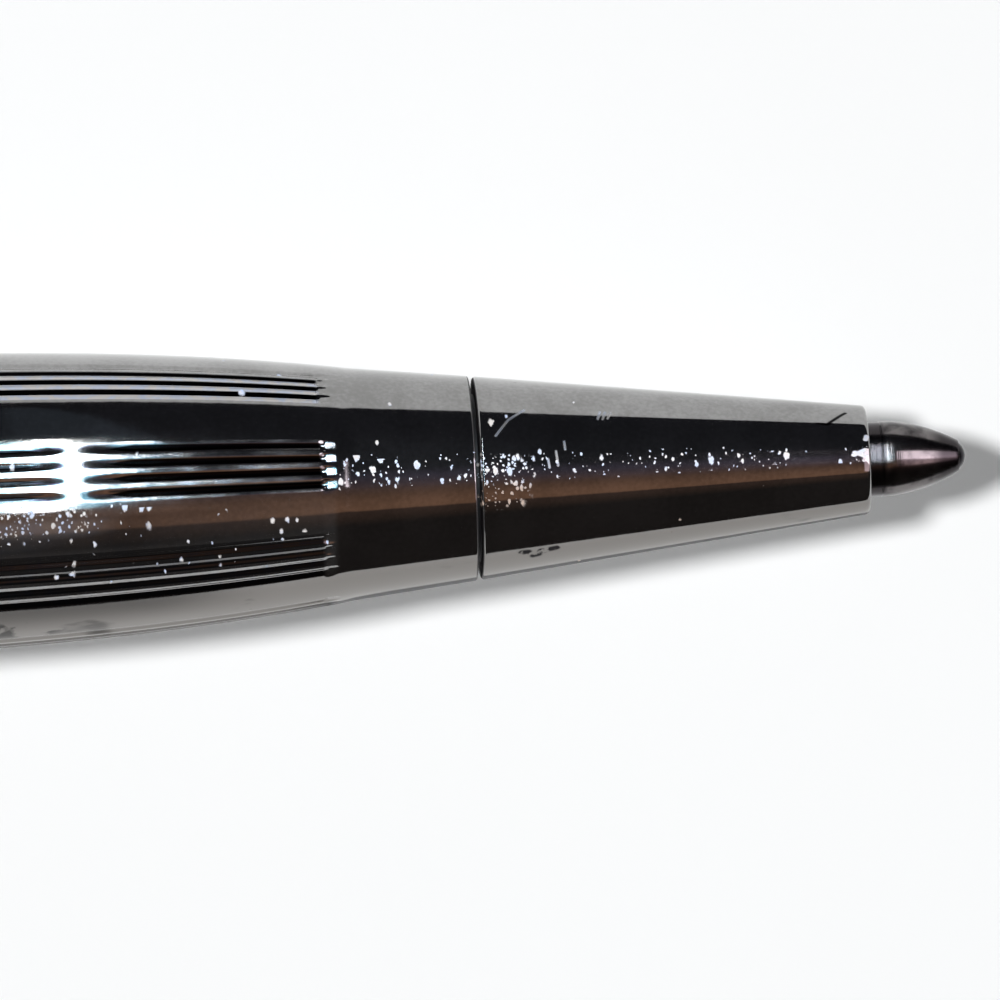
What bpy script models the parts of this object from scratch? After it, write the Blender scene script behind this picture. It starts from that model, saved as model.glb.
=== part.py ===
"""A twist-action ballpoint pen, lying on a table with its point towards +X and its tip out.

Sizes are in millimetres and become metres when the meshes are made. A station is a distance along the pen's
axis, measured backwards from the writing point. A turn is an angle about the axis, measured in degrees from
straight up towards -Y.
"""

import math

import bmesh
import bpy
import numpy

# Units and fits
MM = 0.001
SLIP = 0.1              # gap to a neighbour that is pressed on or slides, on the radius
SEAT = 0.2              # gap between two end faces that meet
SOFT_EDGE = 0.12        # broken edge on the turned metal parts
OUTER_SIDES = 36        # sides of the plain round pieces outside
INNER_SIDES = 24        # sides of the round pieces inside
SMALL_SIDES = 20        # sides of the thinnest round pieces

# Refill
BALL_RADIUS = 0.5
BALL_GAP = 0.05
BALL_SHOWING = 0.22     # how far the ball stands out of its socket
SOCKET_WALL = 0.06
TIP_RADIUS = 1.175
TIP_TAPER = 2.35        # length of the tip's taper
TIP_GROOVE = 0.06       # depth and width of the fine groove behind the taper
TIP_COLLAR = 0.3        # from the taper to that groove
INK_DUCT_RADIUS = 0.4
TIP_SHANK_RADIUS = 0.85
TIP_SHANK_LENGTH = 3.6
NECK_RADIUS = 1.45
REFILL_RADIUS = 2.45
REFILL_WALL = 0.3
REFILL_LENGTH = 98.0
INK_SPENT = 10.0        # empty length behind the ink
PLUG_SHANK = 4.5
PLUG_HEAD = 4.0
PLUG_EDGE = 0.4
PLUG_VENT_RADIUS = 0.5

# Return spring, as it stands with the tip out
WIRE_RADIUS = 0.175
SPRING_GAP = 0.22       # between the refill's neck and the wire
COIL_TURNS = 8
POINTS_A_TURN = 10
WIRE_SIDES = 6

# Nose cone
TIP_SHOWING = 3.1       # how far the tip stands out of the nose cone
TIP_GAP = 0.175
MOUTH_WALL = 0.35
MOUTH_EDGE = 0.16
CONE_LENGTH = 12.2
CHAMBER_IN_CONE = 4.7   # the spring's chamber reaches this far into the cone
SPIGOT_WALL = 0.5
SPIGOT_LENGTH = 4.1
THREAD_GAP = 0.13
SEAL_LENGTH = 0.6
SEAL_DEPTH = 0.27       # depth of the seal's groove in the spigot
SEAL_GAP = 0.05

# Barrel
SEAM = 0.25             # gap that shows between nose cone and barrel
FRONT_WALL = 0.44       # wall of the barrel round the nose cone's spigot
FRONT_BAND_LENGTH = 4.15
BAND_SLOPE = 0.113      # growth of the radius along the smooth front band
SHOULDER_STEP = 0.04
SHOULDER_LENGTH = 0.15
SWELL_LENGTH = 22.3     # the barrel swells from the shoulder to its full radius
SWELL_POWER = 3.1
STRAIGHT_LENGTH = 26.0
BODY_RADIUS = 4.75      # barrel, centre band and cap
BODY_WALL = 0.75
REFILL_GAP = 0.2

# Engraved lines of the barrel and cap
GROUPS = 8
FIRST_GROUP_TURN = 29.75
LINES_A_GROUP = 4
LINE_PITCH = 6.2        # degrees
LINE_WIDTH = 2.9        # degrees
LINE_DEPTH = 0.09
LINE_RUNOUT = 0.6
LINE_MARGIN = 1.1       # plain rim between the lines and an end
PANEL_POINTS = 3        # mesh columns on each plain panel between two groups
BORE_STEP = 3           # a bore has one mesh column for each three outside

# Centre band and thread bush
BAND_LENGTH = 2.6
BAND_SEAT = 0.25        # the band's bore is this much smaller than the barrel's
BUSH_LENGTH = 11.5
BUSH_WALL = 0.48
BUSH_INSET = 0.5

# Twist mechanism
TIP_TRAVEL = 4.5
TWIST_DEGREES = 135.0
HOUSING_WALL = 0.45
HOUSING_STEP_WALL = 0.7
HEAD_SPACE = 0.7        # free space behind the follower's head with the tip in
GUIDE_WALL = 0.55
GUIDE_GAP = 0.15
GUIDE_SIDES = 30
SLOT_SIDES = 3
RAMP = 0.08             # length of the housing's short steps
PIN_RADIUS = 0.4
PIN_GAP = 0.12
FOLLOWER_HEAD_LENGTH = 2.0
FOLLOWER_ROD_RADIUS = 1.5
FOLLOWER_TAIL = 4.0     # rod behind the cross pin
CAM_GAP = 0.12
CAM_WALL = 0.63
CAM_FRONT_LAND = 2.1    # cam in front of the cross pin with the tip out
CAM_REAR_LAND = 2.9     # cam behind the cross pin with the tip in
CAM_STEP = 7.0          # degrees between the cam's mesh columns
CAM_REST_SIDES = 3
WASHER_THICKNESS = 0.4
RING_THICKNESS = 0.5
RING_SEAT = 0.25        # depth of the retaining ring's groove
RING_OPENING_SIDES = 4
FRICTION_RING_PLACE = 4.0  # from the cap's front edge
FRICTION_RING_GAP = 0.08

# Cap, finial and stud
CAP_TAPER_LENGTH = 16.0
CAP_REAR_RADIUS = 4.1
CAP_PLAIN_REAR = 10.0   # plain length behind the lines
CAP_BUSH_WALL = 2.0
CAP_BOSS_LENGTH = 8.0
STUD_RADIUS = 0.95
STUD_EDGE = 0.2
STUD_INSET = 1.5
FINIAL_RADIUS = 3.95
FINIAL_FACE_RADIUS = 2.2
FINIAL_LENGTH = 6.9
FINIAL_STRAIGHT = 1.6
FINIAL_HOLE_DEPTH = 3.5

# Clip
CLIP_THICKNESS = 0.8
CLIP_STANDOFF = 0.6     # space between the cap and the clip's arm
CLIP_HALF_WIDTH = 1.6
CLIP_END_HALF_WIDTH = 1.15
CLIP_LENGTH = 40.0
CLIP_BROAD_LENGTH = 8.0
CLIP_BUMP_PLACE = 2.4   # from the clip's free end
CLIP_BUMP_LENGTH = 1.2
CLIP_BUMP_GAP = 0.12
CLIP_SWEEP = 0.08       # small offsets that round the bump and the free end
CLIP_EDGE = 0.15
CLIP_RING_THICKNESS = 0.7
CLIP_FOLD_GAP = 0.15

# Places along the pen that follow from the sizes above
CONE_REAR = TIP_SHOWING + CONE_LENGTH
CHAMBER_FRONT = CONE_REAR - CHAMBER_IN_CONE
SPIGOT_REAR = CONE_REAR + SPIGOT_LENGTH
TIP_REAR = CHAMBER_FRONT + 4 * SEAT
REFILL_SHOULDER = SPIGOT_REAR + 8 * SEAT
REFILL_TUBE_REAR = REFILL_LENGTH - PLUG_HEAD
BARREL_FRONT = CONE_REAR + SEAM
SHOULDER = BARREL_FRONT + FRONT_BAND_LENGTH
FULL_SIZE = SHOULDER + SWELL_LENGTH
BARREL_REAR = FULL_SIZE + STRAIGHT_LENGTH
BAND_FRONT = BARREL_REAR + SEAT
BAND_REAR = BAND_FRONT + BAND_LENGTH
CAP_FRONT = BAND_REAR + SEAT
HEAD_FRONT = REFILL_LENGTH + SEAT
HEAD_REAR = HEAD_FRONT + FOLLOWER_HEAD_LENGTH
HOUSING_STEP = HEAD_REAR + TIP_TRAVEL + HEAD_SPACE
CAM_FRONT = HOUSING_STEP + HOUSING_STEP_WALL + 1.5 * SEAT
PIN_PLACE = CAM_FRONT + CAM_FRONT_LAND
CAM_REAR = PIN_PLACE + TIP_TRAVEL + CAM_REAR_LAND
RING_FRONT = CAM_REAR + WASHER_THICKNESS + 2 * SLIP
RING_REAR = RING_FRONT + RING_THICKNESS + SLIP
GUIDE_REAR = RING_REAR + 2 * SEAT + SLIP
CAP_BUSH_FRONT = CAM_FRONT + SLIP
CAP_BUSH_FLOOR = GUIDE_REAR + 2 * SEAT
CAP_BORE_REAR = CAP_BUSH_FLOOR + CAP_BUSH_WALL
CAP_REAR = CAP_BORE_REAR + CAP_BOSS_LENGTH
CLIP_RING_FRONT = CAP_REAR + SEAT
CLIP_REAR = CLIP_RING_FRONT - CLIP_FOLD_GAP
CLIP_FRONT = CLIP_REAR - CLIP_LENGTH
FINIAL_FRONT = CLIP_RING_FRONT + CLIP_RING_THICKNESS + SEAT
PEN_LENGTH = FINIAL_FRONT + FINIAL_LENGTH

# Radii that follow from the sizes above
MOUTH_BORE = TIP_RADIUS + TIP_GAP
MOUTH_RADIUS = MOUTH_BORE + MOUTH_WALL
COIL_RADIUS = NECK_RADIUS + SPRING_GAP + WIRE_RADIUS
CHAMBER_RADIUS = COIL_RADIUS + WIRE_RADIUS + SLIP
SPIGOT_RADIUS = CHAMBER_RADIUS + SPIGOT_WALL
SOCKET_RADIUS = SPIGOT_RADIUS + THREAD_GAP
FRONT_RADIUS = SOCKET_RADIUS + FRONT_WALL
BORE_RADIUS = BODY_RADIUS - BODY_WALL
BAND_BORE = BORE_RADIUS - BAND_SEAT
BUSH_BORE = BORE_RADIUS - SLIP - BUSH_WALL
HOUSING_BORE = REFILL_RADIUS + REFILL_GAP
SLEEVE_RADIUS = HOUSING_BORE + HOUSING_WALL
GUIDE_BORE = FOLLOWER_ROD_RADIUS + GUIDE_GAP
GUIDE_RADIUS = GUIDE_BORE + GUIDE_WALL
GROOVE_RADIUS = GUIDE_RADIUS - RING_SEAT
CAM_BORE = GUIDE_RADIUS + CAM_GAP
CAM_RADIUS = CAM_BORE + CAM_WALL
CAP_BUSH_BORE = CAM_RADIUS + SLIP
CAP_END_BORE = CAP_REAR_RADIUS - BODY_WALL
STUD_HOLE = STUD_RADIUS + SLIP
CLIP_INNER = BODY_RADIUS + CLIP_STANDOFF
CLIP_OUTER = CLIP_INNER + CLIP_THICKNESS

# How the pen lies: on its body and on one edge of the clip
CLIP_REACH = math.hypot(CLIP_OUTER, CLIP_HALF_WIDTH)
CLIP_HALF_TURN = math.degrees(math.atan2(CLIP_HALF_WIDTH, CLIP_OUTER))
CLIP_TURN = 180.0 - CLIP_HALF_TURN - math.degrees(math.acos(BODY_RADIUS / CLIP_REACH))
CLIP_SIDE = CLIP_REACH * math.sin(math.radians(CLIP_TURN - CLIP_HALF_TURN))
AXIS_SIDE = (CLIP_SIDE - BODY_RADIUS) / 2
AXIS_HEIGHT = BODY_RADIUS

# Colour, roughness and metallic value of each material
FINISHES = {
    "chrome_plate": ((0.55, 0.56, 0.58), 0.08, 1.0),
    "nickel_silver": ((0.52, 0.49, 0.44), 0.28, 1.0),
    "hard_ball": ((0.36, 0.36, 0.37), 0.12, 1.0),
    "brass": ((0.62, 0.46, 0.20), 0.30, 1.0),
    "spring_steel": ((0.50, 0.50, 0.51), 0.30, 1.0),
    "white_plastic": ((0.74, 0.73, 0.70), 0.45, 0.0),
    "black_rubber": ((0.02, 0.02, 0.022), 0.75, 0.0),
    "blue_ink": ((0.01, 0.02, 0.13), 0.35, 0.0),
}


def finish(name):
    """The named material, made once."""
    material = bpy.data.materials.get(name)
    if material:
        return material
    colour, roughness, metallic = FINISHES[name]
    material = bpy.data.materials.new(name)
    material.use_nodes = True
    shader = material.node_tree.nodes["Principled BSDF"]
    shader.inputs["Base Color"].default_value = (*colour, 1.0)
    shader.inputs["Roughness"].default_value = roughness
    shader.inputs["Metallic"].default_value = metallic
    return material


def on_pen(station, radius, turn):
    """A point of the pen, relative to the middle of its axis."""
    angle = math.radians(turn)
    return (PEN_LENGTH / 2 - station, -radius * math.sin(angle), radius * math.cos(angle))


def add_piece(name, points, faces, finish_name, origin=(0.0, 0.0, 0.0), smooth=True):
    """One named solid. Points and the object's own origin are relative to the middle of the pen's axis."""
    mesh = bpy.data.meshes.new(name)
    own = [[(p - o) * MM for p, o in zip(point, origin)] for point in points]
    mesh.from_pydata(own, [], faces)
    work = bmesh.new()
    work.from_mesh(mesh)
    bmesh.ops.recalc_face_normals(work, faces=work.faces)
    work.to_mesh(mesh)
    work.free()
    mesh.materials.append(finish(finish_name))
    piece = bpy.data.objects.new(name, mesh)
    place = (origin[0], origin[1] + AXIS_SIDE, origin[2] + AXIS_HEIGHT)
    piece.location = [value * MM for value in place]
    bpy.context.scene.collection.objects.link(piece)
    if smooth:
        mesh.shade_smooth()
        mesh.set_sharp_from_angle(angle=math.radians(35))
    return piece


def even_turns(sides):
    """Evenly spaced turns, with a flat side straight down."""
    return [360.0 * (side + 0.5) / sides for side in range(sides)]


def add_turned(name, profile, finish_name, sides=INNER_SIDES, origin=(0.0, 0.0, 0.0)):
    """A solid of revolution from a closed profile of (station, radius). A radius of 0 is on the axis."""
    turns = even_turns(sides)
    points, rings = [], []
    for station, radius in profile:
        first = len(points)
        if radius == 0:
            points.append(on_pen(station, 0.0, 0.0))
            rings.append([first] * sides)
        else:
            points.extend(on_pen(station, radius, turn) for turn in turns)
            rings.append(list(range(first, first + sides)))
    faces = []
    for ring, following in zip(rings, rings[1:] + rings[:1]):
        for side in range(sides):
            after = (side + 1) % sides
            corners = [ring[side], ring[after], following[after], following[side]]
            corners = list(dict.fromkeys(corners))
            if len(corners) > 2:
                faces.append(corners)
    return add_piece(name, points, faces, finish_name, origin)


def add_cut_tube(name, turns, rows, missing, finish_name):
    """A tube of cells with some left out, for slots.

    Each row is (stations, inner radius, outer radius), with one station for each turn. missing holds the
    (column, row) of each cell that is left out.
    """
    columns = len(turns)
    points = []
    for stations, inner, outer in rows:
        points.extend(on_pen(station, inner, turn) for station, turn in zip(stations, turns))
        points.extend(on_pen(station, outer, turn) for station, turn in zip(stations, turns))

    def inner_point(column, row):
        return row * 2 * columns + column % columns

    def outer_point(column, row):
        return inner_point(column, row) + columns

    def filled(column, row):
        return 0 <= row < len(rows) - 1 and (column % columns, row) not in missing

    def wall(start, end):
        faces.append([inner_point(*start), inner_point(*end), outer_point(*end), outer_point(*start)])

    faces = []
    for column in range(columns):
        for row in range(len(rows) - 1):
            if not filled(column, row):
                continue
            corners = [(column, row), (column + 1, row), (column + 1, row + 1), (column, row + 1)]
            faces.append([inner_point(*corner) for corner in corners])
            faces.append([outer_point(*corner) for corner in reversed(corners)])
            beside = [(column, row - 1), (column + 1, row), (column, row + 1), (column - 1, row)]
            for edge, neighbour in enumerate(beside):
                if not filled(*neighbour):
                    wall(corners[edge], corners[(edge + 1) % 4])
    return add_piece(name, points, faces, finish_name)


def line_columns():
    """Turn and share of the line's depth of each mesh column round an engraved tube."""
    columns = []
    group_turn = 360.0 / GROUPS
    half_group = LINE_PITCH * (LINES_A_GROUP - 1) / 2 + LINE_WIDTH / 2
    panel_step = (group_turn - 2 * half_group) / (PANEL_POINTS + 1)
    for group in range(GROUPS):
        centre = FIRST_GROUP_TURN + group * group_turn
        for line in range(LINES_A_GROUP):
            middle = centre + (line - (LINES_A_GROUP - 1) / 2) * LINE_PITCH
            columns.append((middle - LINE_WIDTH / 2, 0.0))
            columns.append((middle, 1.0))
            columns.append((middle + LINE_WIDTH / 2, 0.0))
        for point in range(PANEL_POINTS):
            columns.append((centre + half_group + (point + 1) * panel_step, 0.0))
    return columns


def add_engraved_tube(name, outer_rows, bore_rows, finish_name):
    """An engraved tube. Outer rows are (station, radius, line depth), bore rows (station, radius)."""
    columns = line_columns()
    around = len(columns)
    bore_around = around // BORE_STEP
    points = []
    for station, radius, depth in outer_rows:
        points.extend(on_pen(station, radius - share * depth, turn) for turn, share in columns)
    bore_first = len(points)
    for station, radius in bore_rows:
        points.extend(on_pen(station, radius, turn) for turn, share in columns[::BORE_STEP])

    def outer_point(column, row):
        return row * around + column % around

    def bore_point(column, row):
        return bore_first + row * bore_around + column % bore_around

    def quads(count, rows, point):
        return [
            [point(c, r), point(c + 1, r), point(c + 1, r + 1), point(c, r + 1)]
            for r in range(rows - 1)
            for c in range(count)
        ]

    faces = quads(around, len(outer_rows), outer_point) + quads(bore_around, len(bore_rows), bore_point)
    for outer_row, bore_row in ((0, 0), (len(outer_rows) - 1, len(bore_rows) - 1)):
        for column in range(bore_around):
            rim = [outer_point(column * BORE_STEP + step, outer_row) for step in range(BORE_STEP + 1)]
            faces.append(rim + [bore_point(column + 1, bore_row), bore_point(column, bore_row)])
    return add_piece(name, points, faces, finish_name)


def cone_radius(station):
    """Outside radius of the nose cone."""
    share = (station - TIP_SHOWING) / CONE_LENGTH
    return MOUTH_RADIUS + (FRONT_RADIUS - MOUTH_RADIUS) * share


def band_radius(station):
    """Outside radius of the barrel's smooth front band, which carries on the nose cone's line."""
    return FRONT_RADIUS + (station - CONE_REAR) * BAND_SLOPE


def swell_radius(station):
    """Outside radius of the barrel's engraved part, which swells from the shoulder to full size."""
    start = band_radius(SHOULDER) + SHOULDER_STEP
    share = (FULL_SIZE - station) / SWELL_LENGTH
    return BODY_RADIUS - (BODY_RADIUS - start) * max(share, 0.0) ** SWELL_POWER


def cap_radius(station):
    """Outside radius of the cap, which tapers a little towards its rear."""
    share = max(station - CAP_REAR + CAP_TAPER_LENGTH, 0.0) / CAP_TAPER_LENGTH
    return BODY_RADIUS - (BODY_RADIUS - CAP_REAR_RADIUS) * share ** 2


def add_writing_ball():
    """The ball, a sphere that turns in the tip's socket."""
    rows = 8
    arc = [math.pi * row / rows for row in range(rows + 1)]
    profile = [(BALL_RADIUS * (1 - math.cos(a)), BALL_RADIUS * math.sin(a)) for a in arc]
    profile[0], profile[-1] = (0.0, 0.0), (2 * BALL_RADIUS, 0.0)
    add_turned("writing_ball", profile, "hard_ball", 16, on_pen(BALL_RADIUS, 0.0, 0.0))


def add_refill_tip():
    """The tip: a round-nosed taper with the ball's socket, a straight shaft, and a shank in the neck."""
    seat = BALL_RADIUS + BALL_GAP
    lip = math.acos((BALL_RADIUS - BALL_SHOWING) / seat)
    duct = math.pi - math.asin(INK_DUCT_RADIUS / seat)
    arc = [duct + (lip - duct) * step / 4 for step in range(5)]
    socket = [(BALL_RADIUS - seat * math.cos(a), seat * math.sin(a)) for a in arc]
    nose = seat + SOCKET_WALL
    taper = []
    for step in range(5):
        share = step / 4
        swell = share * (1.25 - 0.25 * share)
        station = BALL_RADIUS + (TIP_TAPER - TIP_GROOVE - BALL_RADIUS) * share
        taper.append((station, nose + (TIP_RADIUS - TIP_GROOVE - nose) * swell))
    groove = TIP_TAPER + TIP_COLLAR
    bottom = TIP_RADIUS - TIP_GROOVE
    shank_rear = TIP_REAR + TIP_SHANK_LENGTH
    shaft = [
        (TIP_TAPER, TIP_RADIUS), (groove, TIP_RADIUS), (groove + TIP_GROOVE, bottom),
        (groove + 2 * TIP_GROOVE, bottom), (groove + 3 * TIP_GROOVE, TIP_RADIUS),
        (TIP_REAR, TIP_RADIUS), (TIP_REAR, TIP_SHANK_RADIUS),
        (shank_rear, TIP_SHANK_RADIUS), (shank_rear, INK_DUCT_RADIUS),
    ]
    rim = [(socket[-1][0], socket[-1][1] + SOCKET_WALL)]
    add_turned("refill_tip", rim + taper + shaft + socket, "nickel_silver", SMALL_SIDES)


def add_refill_tube():
    """The refill's brass tube with its narrow neck."""
    neck_front = TIP_REAR + SEAT
    bore = REFILL_RADIUS - REFILL_WALL
    duct = TIP_SHANK_RADIUS + SLIP
    profile = [
        (neck_front, duct), (neck_front, NECK_RADIUS), (REFILL_SHOULDER, NECK_RADIUS),
        (REFILL_SHOULDER, REFILL_RADIUS - SOFT_EDGE), (REFILL_SHOULDER + SOFT_EDGE, REFILL_RADIUS),
        (REFILL_TUBE_REAR, REFILL_RADIUS), (REFILL_TUBE_REAR, bore),
        (REFILL_SHOULDER + 4 * REFILL_WALL, bore), (REFILL_SHOULDER + 2 * REFILL_WALL, duct),
    ]
    add_turned("refill_tube", profile, "brass")


def add_ink():
    """The ink in the refill's tube."""
    radius = REFILL_RADIUS - REFILL_WALL - SLIP
    front = REFILL_SHOULDER + 4 * REFILL_WALL + SEAT
    rear = REFILL_TUBE_REAR - INK_SPENT
    add_turned("ink", [(front, 0.0), (front, radius), (rear, radius), (rear, 0.0)], "blue_ink")


def add_refill_plug():
    """The refill's plastic end plug, with a vent."""
    shank = REFILL_RADIUS - REFILL_WALL - SLIP
    front = REFILL_TUBE_REAR - PLUG_SHANK
    flange = REFILL_TUBE_REAR + SLIP
    profile = [
        (front, PLUG_VENT_RADIUS), (front, shank), (flange, shank), (flange, REFILL_RADIUS),
        (REFILL_LENGTH - PLUG_EDGE, REFILL_RADIUS), (REFILL_LENGTH, REFILL_RADIUS - PLUG_EDGE),
        (REFILL_LENGTH, PLUG_VENT_RADIUS),
    ]
    add_turned("refill_plug", profile, "white_plastic")


def add_return_spring():
    """The return spring: one unbroken wire in a helix between the nose cone and the refill's shoulder."""
    first = CHAMBER_FRONT + SEAT + WIRE_RADIUS
    last = REFILL_SHOULDER - SEAT - WIRE_RADIUS
    steps = COIL_TURNS * POINTS_A_TURN
    centres = []
    points = []
    for step in range(steps + 1):
        station = first + (last - first) * step / steps
        turn = 360.0 * step / POINTS_A_TURN
        centres.append(on_pen(station, COIL_RADIUS, turn))
        for side in range(WIRE_SIDES):
            angle = 2 * math.pi * side / WIRE_SIDES
            radius = COIL_RADIUS + WIRE_RADIUS * math.cos(angle)
            points.append(on_pen(station + WIRE_RADIUS * math.sin(angle), radius, turn))
    faces = [list(range(WIRE_SIDES)), list(range(steps * WIRE_SIDES, (steps + 1) * WIRE_SIDES))]
    for step in range(steps):
        for side in range(WIRE_SIDES):
            after = (side + 1) % WIRE_SIDES
            low, high = step * WIRE_SIDES, (step + 1) * WIRE_SIDES
            faces.append([low + side, low + after, high + after, high + side])
    add_piece("return_spring", points, faces, "spring_steel")
    wire = numpy.array(centres)
    apart = numpy.linalg.norm(wire[:, None] - wire[None], axis=2)
    along = numpy.abs(numpy.subtract.outer(numpy.arange(steps + 1), numpy.arange(steps + 1)))
    least = apart[along > POINTS_A_TURN / 2].min() - 2 * WIRE_RADIUS
    print(f"return_spring: least gap between turns {least:.2f} mm")


def add_nose_cone():
    """The nose cone with its bore, its spring chamber and its threaded spigot, which is left plain."""
    groove = SPIGOT_RADIUS - SEAL_DEPTH
    groove_front = BARREL_FRONT + SLIP
    groove_rear = groove_front + SEAL_LENGTH + 2 * SLIP
    rounded = TIP_SHOWING + 1.25 * MOUTH_EDGE
    profile = [
        (TIP_SHOWING, MOUTH_BORE), (TIP_SHOWING, MOUTH_RADIUS - MOUTH_EDGE),
        (TIP_SHOWING + MOUTH_EDGE / 3, MOUTH_RADIUS - MOUTH_EDGE / 3), (rounded, cone_radius(rounded)),
        (CONE_REAR - SOFT_EDGE, cone_radius(CONE_REAR - SOFT_EDGE)), (CONE_REAR, FRONT_RADIUS - SOFT_EDGE),
        (CONE_REAR, SPIGOT_RADIUS), (groove_front, SPIGOT_RADIUS), (groove_front, groove),
        (groove_rear, groove), (groove_rear, SPIGOT_RADIUS),
        (SPIGOT_REAR - SOFT_EDGE, SPIGOT_RADIUS), (SPIGOT_REAR, SPIGOT_RADIUS - SOFT_EDGE),
        (SPIGOT_REAR, CHAMBER_RADIUS), (CHAMBER_FRONT, CHAMBER_RADIUS), (CHAMBER_FRONT, MOUTH_BORE),
    ]
    add_turned("nose_cone", profile, "chrome_plate", OUTER_SIDES)


def add_nose_seal():
    """The rubber seal in the spigot's groove, which keeps the nose cone from working loose."""
    inner = SPIGOT_RADIUS - SEAL_DEPTH + SEAL_GAP
    outer = SOCKET_RADIUS - SEAL_GAP
    front = BARREL_FRONT + 2 * SLIP
    rear = front + SEAL_LENGTH
    middle, half = (front + rear) / 2, (inner + outer) / 2
    quarter = SEAL_LENGTH / 4
    outer_edge = [(front + quarter, outer), (rear - quarter, outer)]
    profile = [(front, half)] + outer_edge + [(rear, half), (middle, inner)]
    add_turned("nose_seal", profile, "black_rubber")


def add_barrel():
    """The barrel: a smooth front band, a low shoulder, then the engraved part, which swells to full size."""
    shoulder_front = SHOULDER - SHOULDER_LENGTH
    lines_front = SHOULDER + LINE_RUNOUT
    lines_rear = BARREL_REAR - LINE_MARGIN - LINE_RUNOUT
    outer_rows = [
        (BARREL_FRONT, band_radius(BARREL_FRONT) - SOFT_EDGE, 0.0),
        (BARREL_FRONT + SOFT_EDGE, band_radius(BARREL_FRONT + SOFT_EDGE), 0.0),
        (shoulder_front, band_radius(shoulder_front), 0.0),
        (SHOULDER, swell_radius(SHOULDER), 0.0),
    ]
    for share in (0.0, 0.08, 0.2, 0.36, 0.59, 1.0):
        station = lines_front + (FULL_SIZE - lines_front) * share
        outer_rows.append((station, swell_radius(station), LINE_DEPTH))
    outer_rows += [
        (lines_rear, BODY_RADIUS, LINE_DEPTH), (BARREL_REAR - LINE_MARGIN, BODY_RADIUS, 0.0),
        (BARREL_REAR - SOFT_EDGE, BODY_RADIUS, 0.0), (BARREL_REAR, BODY_RADIUS - SOFT_EDGE, 0.0),
    ]
    passage = max(SOCKET_RADIUS, HOUSING_BORE)
    bore_rows = [
        (BARREL_FRONT, SOCKET_RADIUS), (SPIGOT_REAR + SEAT, SOCKET_RADIUS), (SPIGOT_REAR + 2 * SEAT, passage),
        (SHOULDER + SWELL_LENGTH / 5, passage), (SHOULDER + SWELL_LENGTH * 0.6, BORE_RADIUS),
        (BARREL_REAR, BORE_RADIUS),
    ]
    add_engraved_tube("barrel", outer_rows, bore_rows, "chrome_plate")


def add_barrel_bush():
    """The brass bush in the barrel's rear, which takes the mechanism's thread. The thread is left plain."""
    outer = BORE_RADIUS - SLIP
    rear = BARREL_REAR - BUSH_INSET
    front = rear - BUSH_LENGTH
    profile = [(front, BUSH_BORE), (front, outer), (rear, outer), (rear, BUSH_BORE)]
    add_turned("barrel_bush", profile, "brass")


def add_centre_band():
    """The plain polished band between barrel and cap."""
    profile = [
        (BAND_FRONT, BAND_BORE), (BAND_FRONT, BODY_RADIUS - SOFT_EDGE), (BAND_FRONT + SOFT_EDGE, BODY_RADIUS),
        (BAND_REAR - SOFT_EDGE, BODY_RADIUS), (BAND_REAR, BODY_RADIUS - SOFT_EDGE), (BAND_REAR, BAND_BORE),
    ]
    add_turned("centre_band", profile, "chrome_plate", OUTER_SIDES)


def guide_turns():
    """Turns of the housing's mesh columns. The first three sides of each half circle span a slot."""
    slot = math.degrees(math.asin((PIN_RADIUS + PIN_GAP) / GUIDE_BORE))
    wall_sides = GUIDE_SIDES // 2 - SLOT_SIDES
    half = [-slot + 2 * slot * side / SLOT_SIDES for side in range(SLOT_SIDES)]
    half += [slot + (180.0 - 2 * slot) * side / wall_sides for side in range(wall_sides)]
    return half + [turn + 180.0 for turn in half]


def add_mechanism_housing():
    """The mechanism's fixed housing: thread, flange, sleeve, and a narrow guide with two straight slots."""
    thread = BUSH_BORE - SLIP
    flange = BAND_BORE - SLIP
    slot_front = PIN_PLACE - PIN_RADIUS - 2 * PIN_GAP
    slot_rear = PIN_PLACE + TIP_TRAVEL + PIN_RADIUS + 2 * PIN_GAP
    step_rear = HOUSING_STEP + HOUSING_STEP_WALL
    corners = [
        (BARREL_REAR - BUSH_LENGTH, HOUSING_BORE, thread),
        (BAND_FRONT, HOUSING_BORE, thread), (BAND_FRONT + RAMP, HOUSING_BORE, flange),
        (BAND_REAR, HOUSING_BORE, flange), (BAND_REAR + RAMP, HOUSING_BORE, SLEEVE_RADIUS),
        (HOUSING_STEP, HOUSING_BORE, SLEEVE_RADIUS), (HOUSING_STEP + RAMP, GUIDE_BORE, SLEEVE_RADIUS),
        (step_rear - RAMP, GUIDE_BORE, SLEEVE_RADIUS), (step_rear, GUIDE_BORE, GUIDE_RADIUS),
        (slot_front, GUIDE_BORE, GUIDE_RADIUS), (slot_rear, GUIDE_BORE, GUIDE_RADIUS),
        (RING_FRONT - RAMP, GUIDE_BORE, GUIDE_RADIUS), (RING_FRONT, GUIDE_BORE, GROOVE_RADIUS),
        (RING_REAR, GUIDE_BORE, GROOVE_RADIUS), (RING_REAR + RAMP, GUIDE_BORE, GUIDE_RADIUS),
        (GUIDE_REAR, GUIDE_BORE, GUIDE_RADIUS),
    ]
    turns = guide_turns()
    rows = [([station] * GUIDE_SIDES, inner, outer) for station, inner, outer in corners]
    slot_row = [station for station, inner, outer in corners].index(slot_front)
    slots = [side + start for side in range(SLOT_SIDES) for start in (0, GUIDE_SIDES // 2)]
    add_cut_tube("mechanism_housing", turns, rows, {(side, slot_row) for side in slots}, "brass")


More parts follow.
